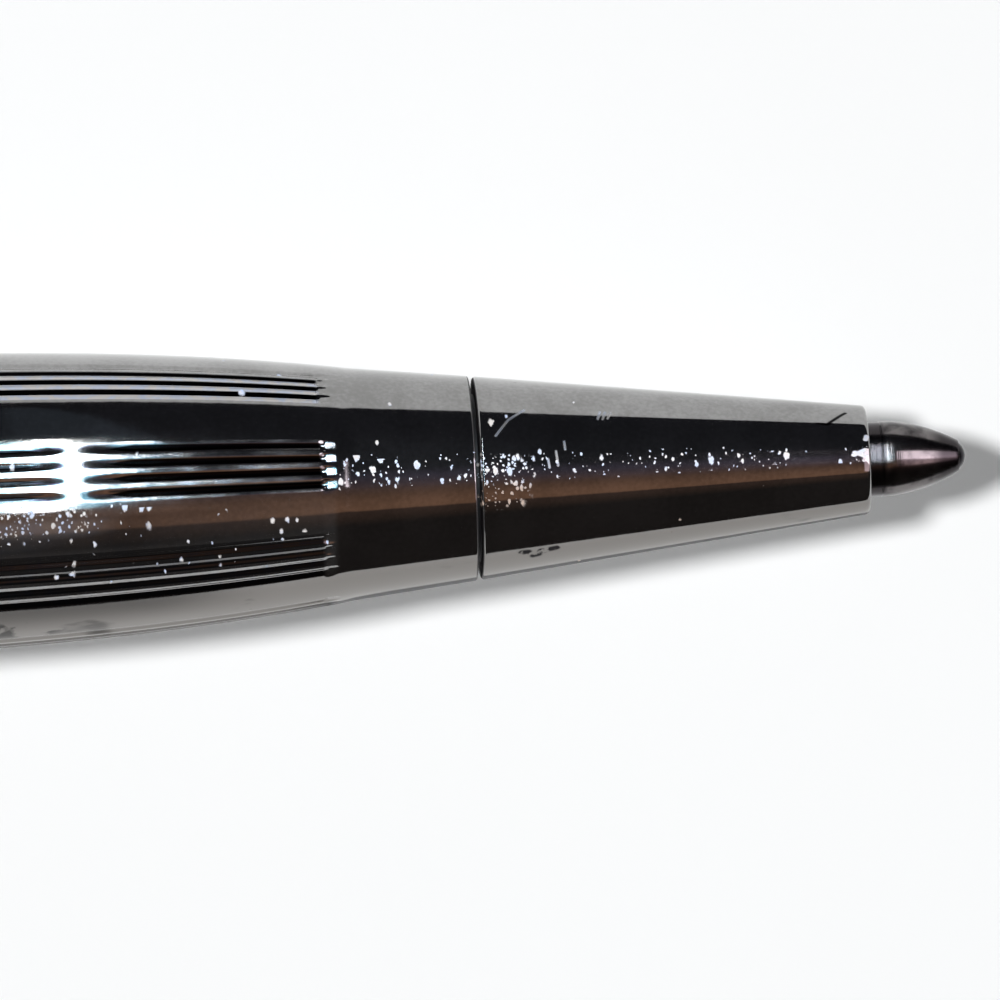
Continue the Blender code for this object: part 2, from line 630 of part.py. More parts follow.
def add_follower():
    """The follower. Its head bears on the refill's plug, and its rod holds the cross pin."""
    head = REFILL_RADIUS - 1.5 * SLIP
    rear = PIN_PLACE + FOLLOWER_TAIL
    profile = [
        (HEAD_FRONT, 0.0), (HEAD_FRONT, head), (HEAD_REAR, head),
        (HEAD_REAR, FOLLOWER_ROD_RADIUS), (rear, FOLLOWER_ROD_RADIUS), (rear, 0.0),
    ]
    follower = add_turned("follower", profile, "white_plastic")
    drill_length = 4 * FOLLOWER_ROD_RADIUS
    drill = add_cross_cylinder("follower_drill", PIN_RADIUS + SLIP / 2, drill_length, "white_plastic")
    drill.hide_render = True
    drill.display_type = "WIRE"
    hole = follower.modifiers.new("pin_hole", "BOOLEAN")
    hole.operation = "DIFFERENCE"
    hole.solver = "EXACT"
    hole.object = drill


def add_cross_cylinder(name, radius, length, finish_name):
    """A round pin that stands upright across the pen's axis."""
    sides = 16
    centre = on_pen(PIN_PLACE, 0.0, 0.0)
    points = []
    for end in (-0.5, 0.5):
        for side in range(sides):
            angle = 2 * math.pi * side / sides
            along, across = radius * math.cos(angle), radius * math.sin(angle)
            points.append((centre[0] + along, centre[1] + across, centre[2] + end * length))
    faces = [list(range(sides)), list(range(sides, 2 * sides))]
    faces += [[s, (s + 1) % sides, sides + (s + 1) % sides, sides + s] for s in range(sides)]
    return add_piece(name, points, faces, finish_name)


def add_cam_sleeve():
    """The cam sleeve, which turns with the cap. Its two helical slots draw the cross pin back and forth."""
    slope = TIP_TRAVEL / TWIST_DEGREES
    end_turn = math.degrees((PIN_RADIUS + PIN_GAP) / CAM_BORE)
    slot_sides = round((TWIST_DEGREES + 2 * end_turn) / CAM_STEP)
    slant = TIP_TRAVEL / math.radians(TWIST_DEGREES) / CAM_BORE
    half_slot = (PIN_RADIUS + 1.25 * PIN_GAP) * math.hypot(1.0, slant)
    slot_end, next_slot = TWIST_DEGREES + end_turn, 180.0 - end_turn
    turns, middles, missing = [], [], set()
    for half in (0.0, 180.0):
        for side in range(slot_sides):
            missing.add((len(turns), 1))
            turn = -end_turn + (slot_end + end_turn) * side / slot_sides
            turns.append(half + turn)
            middles.append(PIN_PLACE + slope * turn)
        for side in range(CAM_REST_SIDES):
            share = side / CAM_REST_SIDES
            turns.append(half + slot_end + (next_slot - slot_end) * share)
            middles.append(PIN_PLACE + slope * (slot_end - (slot_end + end_turn) * share))
    rows = [
        ([CAM_FRONT] * len(turns), CAM_BORE, CAM_RADIUS),
        ([middle - half_slot for middle in middles], CAM_BORE, CAM_RADIUS),
        ([middle + half_slot for middle in middles], CAM_BORE, CAM_RADIUS),
        ([CAM_REAR] * len(turns), CAM_BORE, CAM_RADIUS),
    ]
    add_cut_tube("cam_sleeve", turns, rows, missing, "brass")


def add_thrust_washer():
    """The plastic washer between the cam sleeve and the retaining ring."""
    front = CAM_REAR + SLIP
    rear = front + WASHER_THICKNESS
    profile = [(front, CAM_BORE), (front, CAM_RADIUS), (rear, CAM_RADIUS), (rear, CAM_BORE)]
    add_turned("thrust_washer", profile, "white_plastic")


def add_retaining_ring():
    """The open spring ring in the guide's groove, which keeps the cam sleeve on."""
    front = RING_FRONT + SLIP / 2
    inner = GROOVE_RADIUS + SLIP / 2
    outer = CAM_RADIUS - SLIP
    rows = [([station] * GUIDE_SIDES, inner, outer) for station in (front, front + RING_THICKNESS)]
    missing = {(side, 0) for side in range(RING_OPENING_SIDES)}
    add_cut_tube("retaining_ring", guide_turns(), rows, missing, "spring_steel")


def add_friction_ring():
    """The rubber ring on the housing's sleeve, which centres the cap and gives the twist its drag."""
    inner = SLEEVE_RADIUS + FRICTION_RING_GAP
    outer = BORE_RADIUS - FRICTION_RING_GAP
    middle, thick = (inner + outer) / 2, (outer - inner) / 2
    place = CAP_FRONT + FRICTION_RING_PLACE
    sides = 6
    angles = [2 * math.pi * side / sides for side in range(sides)]
    profile = [(place + thick * math.sin(a), middle + thick * math.cos(a)) for a in angles]
    add_turned("friction_ring", profile, "black_rubber")


def add_cap():
    """The cap, engraved like the barrel, plain and slightly tapered at its rear."""
    lines_front = CAP_FRONT + 2 * LINE_MARGIN
    lines_rear = CAP_REAR - CAP_PLAIN_REAR
    taper_front = CAP_REAR - CAP_TAPER_LENGTH
    outer_rows = [
        (CAP_FRONT, BODY_RADIUS - SOFT_EDGE, 0.0), (CAP_FRONT + SOFT_EDGE, BODY_RADIUS, 0.0),
        (lines_front, BODY_RADIUS, 0.0), (lines_front + LINE_RUNOUT, BODY_RADIUS, LINE_DEPTH),
    ]
    engraved = sorted((taper_front, lines_rear))
    outer_rows += [(station, cap_radius(station), LINE_DEPTH) for station in engraved]
    plain = [lines_rear + LINE_RUNOUT, CAP_REAR - CAP_PLAIN_REAR / 2, CAP_REAR - SOFT_EDGE]
    outer_rows += [(station, cap_radius(station), 0.0) for station in plain]
    outer_rows.append((CAP_REAR, CAP_REAR_RADIUS - SOFT_EDGE, 0.0))
    bore_rows = [
        (CAP_FRONT, BORE_RADIUS), (CAP_BORE_REAR, BORE_RADIUS), (CAP_BORE_REAR, CAP_END_BORE),
        (CAP_REAR, CAP_END_BORE),
    ]
    add_engraved_tube("cap", outer_rows, bore_rows, "chrome_plate")


def add_cap_bush():
    """The brass bush in the cap's rear. It grips the cam sleeve and takes the finial's stud."""
    outer = BORE_RADIUS - SLIP
    step = CAP_BORE_REAR - 3 * SLIP
    boss = CAP_END_BORE - SLIP
    rear = CAP_REAR - 3 * SLIP
    profile = [
        (CAP_BUSH_FRONT, CAP_BUSH_BORE), (CAP_BUSH_FRONT, outer), (step, outer), (step, boss), (rear, boss),
        (rear, STUD_HOLE), (CAP_BUSH_FLOOR, STUD_HOLE), (CAP_BUSH_FLOOR, CAP_BUSH_BORE),
    ]
    add_turned("cap_bush", profile, "brass")


def add_clip_ring():
    """The clip's ring, held between cap and finial, with a tab that reaches out to the arm."""
    tab_root = math.degrees(math.asin(CLIP_HALF_WIDTH / FINIAL_RADIUS))
    rest_sides = 26
    rest = (360.0 - 2 * tab_root) / rest_sides
    turns = [CLIP_TURN + tab_root + rest * side for side in range(rest_sides + 1)]
    reaches = [FINIAL_RADIUS] * len(turns)
    turns += [CLIP_TURN - CLIP_HALF_TURN, CLIP_TURN, CLIP_TURN + CLIP_HALF_TURN]
    reaches += [CLIP_REACH, CLIP_OUTER, CLIP_REACH]
    columns = len(turns)
    points, faces = [], []
    for station in (CLIP_RING_FRONT, CLIP_RING_FRONT + CLIP_RING_THICKNESS):
        points.extend(on_pen(station, STUD_RADIUS + 2 * SLIP, turn) for turn in turns)
        points.extend(on_pen(station, reach, turn) for reach, turn in zip(reaches, turns))
    rims = [0, columns, 3 * columns, 2 * columns]
    for column in range(columns):
        after = (column + 1) % columns
        for start, end in zip(rims, rims[1:] + rims[:1]):
            faces.append([start + column, start + after, end + after, end + column])
    add_piece("clip_ring", points, faces, "chrome_plate")


def add_clip():
    """The clip's springy arm, with a bump near its free end that bears on the cap."""
    bump = BODY_RADIUS + CLIP_BUMP_GAP
    place = CLIP_FRONT + CLIP_BUMP_PLACE
    half_bump = CLIP_BUMP_LENGTH / 2
    slim = CLIP_END_HALF_WIDTH
    # Each section is a station, the inner and outer distance from the pen's axis, and a half width.
    sections = [
        (CLIP_REAR, CLIP_INNER, CLIP_OUTER, CLIP_HALF_WIDTH),
        (CLIP_REAR - CLIP_BROAD_LENGTH, CLIP_INNER, CLIP_OUTER, CLIP_HALF_WIDTH),
        (place + 3 * CLIP_BUMP_LENGTH, CLIP_INNER, CLIP_OUTER, slim + CLIP_SWEEP),
        (place + CLIP_BUMP_LENGTH, CLIP_INNER - 2 * CLIP_SWEEP, CLIP_OUTER, slim),
        (place + half_bump, bump + CLIP_SWEEP, CLIP_OUTER - CLIP_SWEEP, slim),
        (place, bump, CLIP_OUTER - 2 * CLIP_SWEEP, slim),
        (place - half_bump, bump + CLIP_SWEEP, CLIP_OUTER - 2 * CLIP_SWEEP, slim),
        (CLIP_FRONT + half_bump, CLIP_INNER - CLIP_SWEEP, CLIP_OUTER - CLIP_SWEEP, slim - CLIP_SWEEP),
        (CLIP_FRONT, CLIP_INNER + 3 * CLIP_SWEEP, CLIP_OUTER - CLIP_SWEEP, slim - 5 * CLIP_SWEEP),
    ]
    points = []
    for station, inner, outer, half in sections:
        outline = [
            (inner, -half), (outer - CLIP_EDGE, -half), (outer, -half + CLIP_EDGE),
            (outer, half - CLIP_EDGE), (outer - CLIP_EDGE, half), (inner, half),
        ]
        for reach, across in outline:
            turn = CLIP_TURN + math.degrees(math.atan2(across, reach))
            points.append(on_pen(station, math.hypot(reach, across), turn))
    corners = 6
    last = (len(sections) - 1) * corners
    faces = [list(range(corners)), list(range(last, last + corners))]
    for section in range(len(sections) - 1):
        for corner in range(corners):
            after = (corner + 1) % corners
            low, high = section * corners, (section + 1) * corners
            faces.append([low + corner, low + after, high + after, high + corner])
    hinge = on_pen(CLIP_REAR, (CLIP_INNER + CLIP_OUTER) / 2, CLIP_TURN)
    add_piece("clip", points, faces, "chrome_plate", hinge)


def add_finial():
    """The finial that ends the cap: a low dome with a flat face, and a blind hole for the stud."""
    hole = FINIAL_FRONT + FINIAL_HOLE_DEPTH
    straight = FINIAL_FRONT + FINIAL_STRAIGHT
    dome = []
    for share in (0.25, 0.5, 0.75, 1.0):
        drop = (FINIAL_RADIUS - FINIAL_FACE_RADIUS) * share ** 2.2
        dome.append((straight + (PEN_LENGTH - straight) * share, FINIAL_RADIUS - drop))
    profile = [
        (hole, 0.0), (hole, STUD_HOLE), (FINIAL_FRONT, STUD_HOLE), (FINIAL_FRONT, FINIAL_RADIUS - SOFT_EDGE),
        (FINIAL_FRONT + SOFT_EDGE, FINIAL_RADIUS), (straight, FINIAL_RADIUS),
    ]
    add_turned("finial", profile + dome + [(PEN_LENGTH, 0.0)], "chrome_plate", OUTER_SIDES)


def add_finial_stud():
    """The steel stud that holds finial and clip on the cap's bush. Its thread is left plain."""
    front = CAP_BUSH_FLOOR + STUD_INSET
    rear = FINIAL_FRONT + FINIAL_HOLE_DEPTH - 3 * SLIP
    profile = [
        (front, 0.0), (front, STUD_RADIUS - STUD_EDGE), (front + STUD_EDGE, STUD_RADIUS),
        (rear, STUD_RADIUS), (rear, 0.0),
    ]
    add_turned("finial_stud", profile, "spring_steel", SMALL_SIDES)


for old in list(bpy.data.objects):
    bpy.data.objects.remove(old)
add_writing_ball()
add_refill_tip()
add_refill_tube()
add_ink()
add_refill_plug()
add_return_spring()
add_nose_cone()
add_nose_seal()
add_barrel()
add_barrel_bush()
add_centre_band()
add_mechanism_housing()
add_follower()
add_cross_cylinder("cross_pin", PIN_RADIUS, 2 * (CAM_RADIUS - SLIP), "spring_steel")
add_cam_sleeve()
add_thrust_washer()
add_retaining_ring()
add_friction_ring()
add_cap()
add_cap_bush()
add_clip_ring()
add_clip()
add_finial()
add_finial_stud()
print(f"pen axis: y {AXIS_SIDE:.3f} mm, z {AXIS_HEIGHT:.3f} mm, clip turned {CLIP_TURN:.2f} degrees")
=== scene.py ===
"""Looks of a chrome-plated twist-action ballpoint pen, lying on a white table with its tip out.

Sizes are in millimetres. A station is a distance along the pen's axis, measured backwards from the writing
point. A turn is an angle about that axis, in radians from straight up towards -Y. A mask's span has four
values: where the mask starts, where it is full, where it begins to fade and where it ends.
"""

import bpy
import numpy as np
from mathutils import Matrix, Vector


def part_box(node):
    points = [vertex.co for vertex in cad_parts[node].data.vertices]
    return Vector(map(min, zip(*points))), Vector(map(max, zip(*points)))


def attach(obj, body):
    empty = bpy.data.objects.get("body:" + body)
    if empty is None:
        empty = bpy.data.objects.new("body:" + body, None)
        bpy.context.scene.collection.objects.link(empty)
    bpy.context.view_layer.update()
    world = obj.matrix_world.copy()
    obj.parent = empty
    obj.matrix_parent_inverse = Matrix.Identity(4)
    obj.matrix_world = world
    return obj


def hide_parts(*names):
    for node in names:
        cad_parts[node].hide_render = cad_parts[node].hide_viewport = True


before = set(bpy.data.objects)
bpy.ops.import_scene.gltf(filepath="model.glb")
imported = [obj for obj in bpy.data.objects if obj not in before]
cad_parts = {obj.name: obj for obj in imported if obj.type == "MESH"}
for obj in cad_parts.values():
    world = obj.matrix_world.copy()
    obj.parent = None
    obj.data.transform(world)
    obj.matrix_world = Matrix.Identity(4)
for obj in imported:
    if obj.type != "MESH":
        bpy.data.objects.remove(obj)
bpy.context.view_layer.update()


# Writing tip
# The refill's front end is turned from nickel silver: a round-nosed taper, a short collar with a fine groove,
# and a shaft that is pressed into the refill's neck. Its taper is worn dull and stained by ink. Behind the
# collar's groove it is painted dark, as shade from the nose cone's mouth and as dirt.
MM = 0.001
BALL_RADIUS = 0.5
BALL_GAP = 0.05
BALL_SHOWING = 0.22
TIP_RADIUS = 1.175
TIP_LIP = 0.03
TIP_TAPER = 2.35
TIP_SWELL = 1.7
TIP_GROOVE = 0.02
TIP_COLLAR = 0.3
TIP_REAR = 11.4
TIP_SHANK_RADIUS = 0.85
TIP_SHANK_REAR = 15.0
INK_DUCT_RADIUS = 0.4
INKED_POINT = (0.7, 1.3)
COLLAR_SHADE_AND_DIRT = 0.2
NICKEL_SILVER = (0.18, 0.167, 0.165)
NICKEL_STAINED_AND_SHADED = (0.045, 0.04, 0.042)
TOOL_MARKS = (18.0, 0.4, 0.4)
SHARP_ANGLE = np.radians(40)

band_low, band_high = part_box("centre_band")
axis_y = (band_low.y + band_high.y) / 2
axis_z = (band_low.z + band_high.z) / 2
point_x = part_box("writing_ball")[1].x


def on_pen(station, radius, turn):
    """Points at a station and a radius, turned about the pen's axis."""
    station, radius, turn = np.broadcast_arrays(station, radius, turn)
    x = point_x - station * MM
    y = axis_y - radius * np.sin(turn) * MM
    z = axis_z + radius * np.cos(turn) * MM
    return np.stack([x, y, z], axis=-1)


def rounded(corners, steps=5):
    """A profile whose corners are softened.

    Each corner is (station, radius, rounding). It becomes a parabola between the two points that lie the
    rounding away from it on its two sides. A rounding of 0 leaves the corner sharp.
    """
    corners = np.array(corners, float)
    spot, rounding = corners[:, :2], corners[:, 2:]
    before = np.roll(spot, 1, axis=0) - spot
    after = np.roll(spot, -1, axis=0) - spot
    start = spot + before * rounding / np.linalg.norm(before, axis=1, keepdims=True)
    end = spot + after * rounding / np.linalg.norm(after, axis=1, keepdims=True)
    t = np.linspace(0, 1, steps)[None, :, None]
    curve = (1 - t) ** 2 * start[:, None] + 2 * t * (1 - t) * spot[:, None] + t ** 2 * end[:, None]
    curve = curve.reshape(-1, 2)
    apart = np.linalg.norm(curve - np.roll(curve, 1, axis=0), axis=1)
    return curve[apart > 1e-6]


def add_skin(name, grid, material, looped=True):
    """A closed mesh from a grid of points, whose columns run round and close on themselves.

    The rows of a looped grid close too, as those of a tube do. Otherwise the first and the last row each
    shrink to one point, a pole. Squares are split into triangles, and the volume's sign turns faces out.
    """
    rows, columns = grid.shape[:2]
    index = np.arange(rows * columns).reshape(rows, columns)
    if not looped:
        index[0], index[-1] = index[0, 0], index[-1, 0]
    here = index if looped else index[:-1]
    there = np.roll(index, -1, axis=0) if looped else index[1:]
    quads = np.stack([here, np.roll(here, -1, axis=1), np.roll(there, -1, axis=1), there], axis=-1)
    quads = quads.reshape(-1, 4)
    faces = np.concatenate([quads[:, [0, 1, 2]], quads[:, [0, 2, 3]]])
    real = (faces[:, 0] != faces[:, 1]) & (faces[:, 1] != faces[:, 2]) & (faces[:, 2] != faces[:, 0])
    used, faces = np.unique(faces[real], return_inverse=True)
    points = grid.reshape(-1, 3)[used]
    faces = faces.reshape(-1, 3)
    a, b, c = (points[faces[:, corner]] - points.mean(axis=0) for corner in range(3))
    if np.einsum("ij,ij->", a, np.cross(b, c)) < 0:
        faces = faces[:, ::-1]
    mesh = bpy.data.meshes.new(name)
    mesh.vertices.add(len(points))
    mesh.vertices.foreach_set("co", points.ravel())
    mesh.loops.add(faces.size)
    mesh.loops.foreach_set("vertex_index", faces.ravel())
    mesh.polygons.add(len(faces))
    mesh.polygons.foreach_set("loop_start", np.arange(0, faces.size, 3))
    mesh.update(calc_edges=True)
    mesh.shade_smooth()
    mesh.set_sharp_from_angle(angle=SHARP_ANGLE)
    mesh.materials.append(material)
    piece = bpy.data.objects.new(name, mesh)
    bpy.context.scene.collection.objects.link(piece)
    return piece


def turned(name, profile, material, sides=128, looped=True):
    """A solid of revolution: each (station, radius) of the profile is carried once round the pen's axis."""
    turns = np.linspace(0, 2 * np.pi, sides, endpoint=False)
    return add_skin(name, on_pen(profile[:, :1], profile[:, 1:], turns[None]), material, looped)


def place_piece(piece, body, slot, *nodes):
    """Makes a piece move with its body and hides the solids that it stands for. The slot is not used."""
    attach(piece, body)
    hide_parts(*nodes)


class Shade:
    """A shader socket that can be used in Python sums. Each operator adds a Math node."""

    def __init__(self, tree, socket=None):
        self.tree = tree
        self.socket = socket

    def node(self, kind, settings=None, sockets=None, output=0):
        """Adds a node from its type, its settings, and the values or links of its sockets."""
        made = self.tree.nodes.new(kind)
        for setting, value in (settings or {}).items():
            setattr(made, setting, value)
        for socket, value in (sockets or {}).items():
            if isinstance(value, Shade):
                self.tree.links.new(value.socket, made.inputs[socket])
            else:
                made.inputs[socket].default_value = value
        return Shade(self.tree, made.outputs[output])

    def math(self, operation, first, second=0.0):
        """A Math node of the given operation."""
        return self.node("ShaderNodeMath", {"operation": operation}, {0: first, 1: second})

    def __add__(self, other):
        return self.math("ADD", self, other)

    def __radd__(self, other):
        return self.math("ADD", other, self)

    def __sub__(self, other):
        return self.math("SUBTRACT", self, other)

    def __rsub__(self, other):
        return self.math("SUBTRACT", other, self)

    def __mul__(self, other):
        return self.math("MULTIPLY", self, other)

    def __rmul__(self, other):
        return self.math("MULTIPLY", other, self)

    def __abs__(self):
        return self.math("ABSOLUTE", self)

    def most(self, *others):
        """The largest of this mask and the others."""
        largest = self
        for other in others:
            largest = self.math("MAXIMUM", largest, other)
        return largest

    def output(self, name):
        """Another output of the same node."""
        return Shade(self.tree, self.socket.node.outputs[name])

    def parts(self):
        """The three components of a vector."""
        split = self.node("ShaderNodeSeparateXYZ", None, {0: self})
        return [split.output(name) for name in "XYZ"]

    def stretched(self, scale):
        """This place, scaled along X, Y and Z."""
        return self.node("ShaderNodeMapping", None, {"Vector": self, "Scale": scale})

    def noise(self, scale, detail=3.0, stretch=(1.0, 1.0, 1.0)):
        """Soft noise between 0 and 1 at this place, with so many waves to a millimetre."""
        sockets = {"Vector": self.stretched(stretch), "Scale": scale, "Detail": detail}
        return self.node("ShaderNodeTexNoise", None, sockets)

    def spots(self, scale, share, size, stretch=(1.0, 1.0, 1.0)):
        """Ragged spots: a share of the cells of a random pattern get one each, of varied size."""
        where = self.stretched(stretch)
        warp = where.noise(8.0).output("Color")
        sockets = {0: warp, 1: (0.12, 0.12, 0.12), 2: where}
        where = self.node("ShaderNodeVectorMath", {"operation": "MULTIPLY_ADD"}, sockets)
        reach = self.node("ShaderNodeTexVoronoi", None, {"Vector": where, "Scale": scale})
        luck = self.node("ShaderNodeSeparateColor", None, {0: reach.output("Color")})
        chosen = self.math("LESS_THAN", luck.output("Red"), share)
        edge = size * scale * (0.3 + 0.7 * luck.output("Green") * luck.output("Blue"))
        return chosen * self.node("ShaderNodeMapRange", None, {0: reach, 1: edge, 2: 0.5 * edge})

    def step(self, low, high):
        """A soft step from 0 at low to 1 at high. With low above high it falls instead."""
        settings = {"interpolation_type": "SMOOTHSTEP"}
        return self.node("ShaderNodeMapRange", settings, {0: self, 1: low, 2: high})

    def within(self, span):
        """A mask over a span, with a soft step at each end."""
        start, full, fade, end = span
        return self.step(start, full) * self.step(end, fade)

    def mix(self, first, second):
        """A colour that goes from the first to the second as this mask goes from 0 to 1."""
        ends = [(*end, 1.0) if isinstance(end, tuple) else end for end in (first, second)]
        return self.node("ShaderNodeMix", {"data_type": "RGBA"}, {0: self, 6: ends[0], 7: ends[1]}, 2)

    def bump(self, strength, depth):
        """A normal that this height tilts, with its depth in millimetres."""
        sockets = {"Strength": strength, "Distance": depth * MM, "Height": self}
        return self.node("ShaderNodeBump", None, sockets)


def new_finish(name):
    """A node material, its shader, and its place in millimetres from the writing point, as a vector."""
    material = bpy.data.materials.new(name)
    material.use_nodes = True
    shader = material.node_tree.nodes["Principled BSDF"]
    blank = Shade(material.node_tree)
    place = blank.node("ShaderNodeTexCoord", output="Object")
    middle = (-point_x / MM, -axis_y / MM, -axis_z / MM)
    sockets = {"Vector": place, "Location": middle, "Scale": (1 / MM, 1 / MM, 1 / MM)}
    return material, shader, blank.node("ShaderNodeMapping", None, sockets)


def feed(shader, **values):
    """Sets or links the shader's sockets. An underscore in a name stands for a space."""
    for name, value in values.items():
        socket = shader.inputs[name.replace("_", " ")]
        if isinstance(value, Shade):
            value.tree.links.new(value.socket, socket)
        else:
            socket.default_value = value


def worn_metal(name, bright, dark, roughness, grain, clean=None):
    """Plain turned metal with tool marks round the axis, mottled by stains.

    Where a clean span of stations is given, the dark colour covers the metal in front of it and behind it.
    On the tip that is ink in front and, behind, painted shade from the cone's mouth with dirt.
    """
    material, shader, place = new_finish(name)
    marks = place.noise(1.0, 3.0, TOOL_MARKS)
    stain_and_shade = place.noise(grain, 4.0).step(0.35, 0.7)
    if clean:
        station = 0.0 - place.parts()[0]
        stain_and_shade = stain_and_shade.most(1.0 - station.within(clean))
    feed(
        shader, Base_Color=stain_and_shade.mix(bright, dark), Metallic=1.0,
        Roughness=roughness + 0.05 * stain_and_shade + 0.05 * marks, Normal=marks.bump(0.3, 0.01),
    )
    return material


def add_writing_tip():
    """A taper, a collar, a shaft and a shank round the ball's socket, an arc about the ball's centre.

    Along the taper, from the socket's lip to the collar, the station grows with the share of the way, and
    the radius with share x (swell - (swell - 1) x share).
    """
    seat = BALL_RADIUS + BALL_GAP
    groove = TIP_TAPER + TIP_COLLAR
    bottom = TIP_RADIUS - TIP_GROOVE
    shaft = np.array([
        (groove, TIP_RADIUS), (groove + TIP_GROOVE, bottom), (groove + 2 * TIP_GROOVE, bottom),
        (groove + 3 * TIP_GROOVE, TIP_RADIUS), (TIP_REAR, TIP_RADIUS), (TIP_REAR, TIP_SHANK_RADIUS),
        (TIP_SHANK_REAR, TIP_SHANK_RADIUS), (TIP_SHANK_REAR, INK_DUCT_RADIUS),
    ])
    lip = np.arccos((BALL_RADIUS - BALL_SHOWING) / seat)
    arc = np.linspace(np.pi - np.arcsin(INK_DUCT_RADIUS / seat), lip, 12)
    socket = np.stack([BALL_RADIUS - seat * np.cos(arc), seat * np.sin(arc)], axis=1)
    rim = socket[-1] + TIP_LIP
    share = np.linspace(0, 1, 24)[:, None]
    swell = share * (TIP_SWELL - (TIP_SWELL - 1) * share)
    taper = rim + ((TIP_TAPER, TIP_RADIUS) - rim) * np.hstack([share, swell])
    # Ink darkens the point. Behind the collar's groove the dark is painted shade from the cone's mouth, and
    # dirt.
    clean = (*INKED_POINT, groove - COLLAR_SHADE_AND_DIRT, groove)
    material = worn_metal("tip_metal", NICKEL_SILVER, NICKEL_STAINED_AND_SHADED, roughness=0.12, grain=1.8, clean=clean)
    piece = turned("tip", np.concatenate([taper, shaft, socket]), material)
    place_piece(piece, "refill_body", "tip_metal", "refill_tip")


add_writing_tip()


# Writing ball
# A ground carbide ball that turns in the tip's socket and carries the ink to the paper. It is held by the
# socket's lip, which is rolled in round it.
CARBIDE = (0.03, 0.027, 0.03)
CARBIDE_INKED = (0.012, 0.01, 0.016)


def add_writing_ball():
    """A sphere that touches the writing point."""
    arc = np.linspace(0, np.pi, 33)
    profile = np.stack([BALL_RADIUS * (1 - np.cos(arc)), BALL_RADIUS * np.sin(arc)], axis=1)
    material = worn_metal("ball_metal", CARBIDE, CARBIDE_INKED, roughness=0.15, grain=3.0)
    piece = turned("ball", profile, material, 64, looped=False)
    place_piece(piece, "ball_body", "ball_metal", "writing_ball")


add_writing_ball()


# Nose cone
# A brass cone, polished and chrome plated, that screws into the barrel's front with a threaded spigot. Years
# of use have left dust, pits and short scratches along its upper side. A band low on one flank is a painted
# reflection of the shadow under the pen, pale glints at its mouth are painted highlights, and painted shade
# darkens its seam along with dirt.
MOUTH_STATION = 3.1
MOUTH_BORE = 1.35
MOUTH_RADIUS = 1.7
MOUTH_EDGE = 0.14
MOUTH_INNER_EDGE = 0.03
CONE_REAR = 15.36
CONE_CHAMFER = 0.07
CHAMFER_EDGE = 0.02
FRONT_RADIUS = 3.19
CONE_RADIUS = FRONT_RADIUS - 0.01
SPIGOT_RADIUS = 2.62
SPIGOT_REAR = 19.4
SPIGOT_EDGE = 0.1
SEAL_FRONT = 15.65
SEAL_REAR = 16.45
SEAL_DEPTH = 0.27
THREAD_FRONT = 16.7
THREAD_REAR = 19.2
THREAD_PITCH = 0.6
THREAD_DEPTH = 0.1
CHAMBER_FRONT = 10.6
CHAMBER_RADIUS = 2.12

# Where dirt, wear, painted shade and painted glare lie on the plate, as spans or single steps of turns
# or of stations
CROWN_DUST = (-0.42, -0.31, -0.14, -0.05)
CROWN_DUST_END = (20.0, 19.7)
LOWER_DUST = (-0.10, 0.0, 0.30, 0.55)
LOWER_DUST_START = (20.0, 20.5)
LOWER_DUST_THINS = (31.0, 45.0)
FROST = (-0.08, -0.04, 0.08, 0.20)
FROST_LENGTH = (25.5, 28.5, 32.0, 36.0)
GLARE_HAZE = (-0.02, 0.05)
SHADE_AND_SMEAR_SIDE = (0.55, 0.80, 1.8, 2.2)
REFLECTED_SHADOW = (1.13, 1.19)
REFLECTED_SHADOW_END = (1.56, 1.48)
REFLECTED_SHADOW_NARROWS = (18.0, 21.0)
REFLECTED_SHADOW_THINS = (19.0, 22.0)
DIRT_AND_SHADE_END = (44.0, 36.0)
CRUST = (-0.42, -0.28, 0.05, 0.28)
CRUST_START = (13.3, 14.7)
BROWN_CRUST = (-0.12, 0.0)
CONE_SEAM_SHADE_AND_DIRT = (-0.05, -0.02, 0.2, 0.3)

# Single marks, as lines between two places, each a station and a turn in degrees
MARK_RADIUS = 3.0
SCRATCHES = (
    ((14.84, -31.9), (14.40, -42.7)), ((14.40, -42.7), (13.90, -50.0)),
    ((11.61, -44.8), (11.52, -51.0)), ((11.46, -44.7), (11.36, -51.0)), ((11.30, -45.5), (11.20, -50.6)),
    ((13.25, -17.0), (13.22, -12.0)), ((12.99, -22.0), (12.95, -13.0)), ((12.72, -28.0), (12.70, -23.0)),
)
# The glints are painted highlights: pale strokes on the cone's mouth.
PAINTED_GLINTS = (((3.64, -13.0), (3.28, -18.0)), ((3.60, -15.5), (3.30, -11.5)), ((3.24, -29.0), (3.20, -33.0)))
NICK = (
    ((4.68, -47.0), (4.41, -46.0)), ((4.41, -46.0), (4.13, -53.7)), ((4.13, -53.7), (3.79, -63.8)),
)
BLOTS = (
    ((14.15, 43.9), (13.95, 44.2)), ((13.78, 48.5), (13.62, 48.0)), ((13.55, 44.7), (13.45, 45.2)),
    ((13.28, 44.4), (13.05, 44.0)),
)
SCRATCH_WIDTH = 0.06
PAINTED_GLINT_WIDTH = 0.12
NICK_WIDTH = 0.09
BLOT_WIDTH = 0.16

CHROME_DULL = (0.255, 0.252, 0.247)
CHROME_BRIGHT = (0.345, 0.341, 0.338)
CHROME_SHADED_SIDE = (0.235, 0.222, 0.21)
DARK_DIRT_AND_SHADE = (0.012, 0.011, 0.012)
PALE_WARM = (0.86, 0.82, 0.80)
PALE_COOL = (0.66, 0.76, 1.0)
DUST_BROWN = (0.62, 0.48, 0.40)


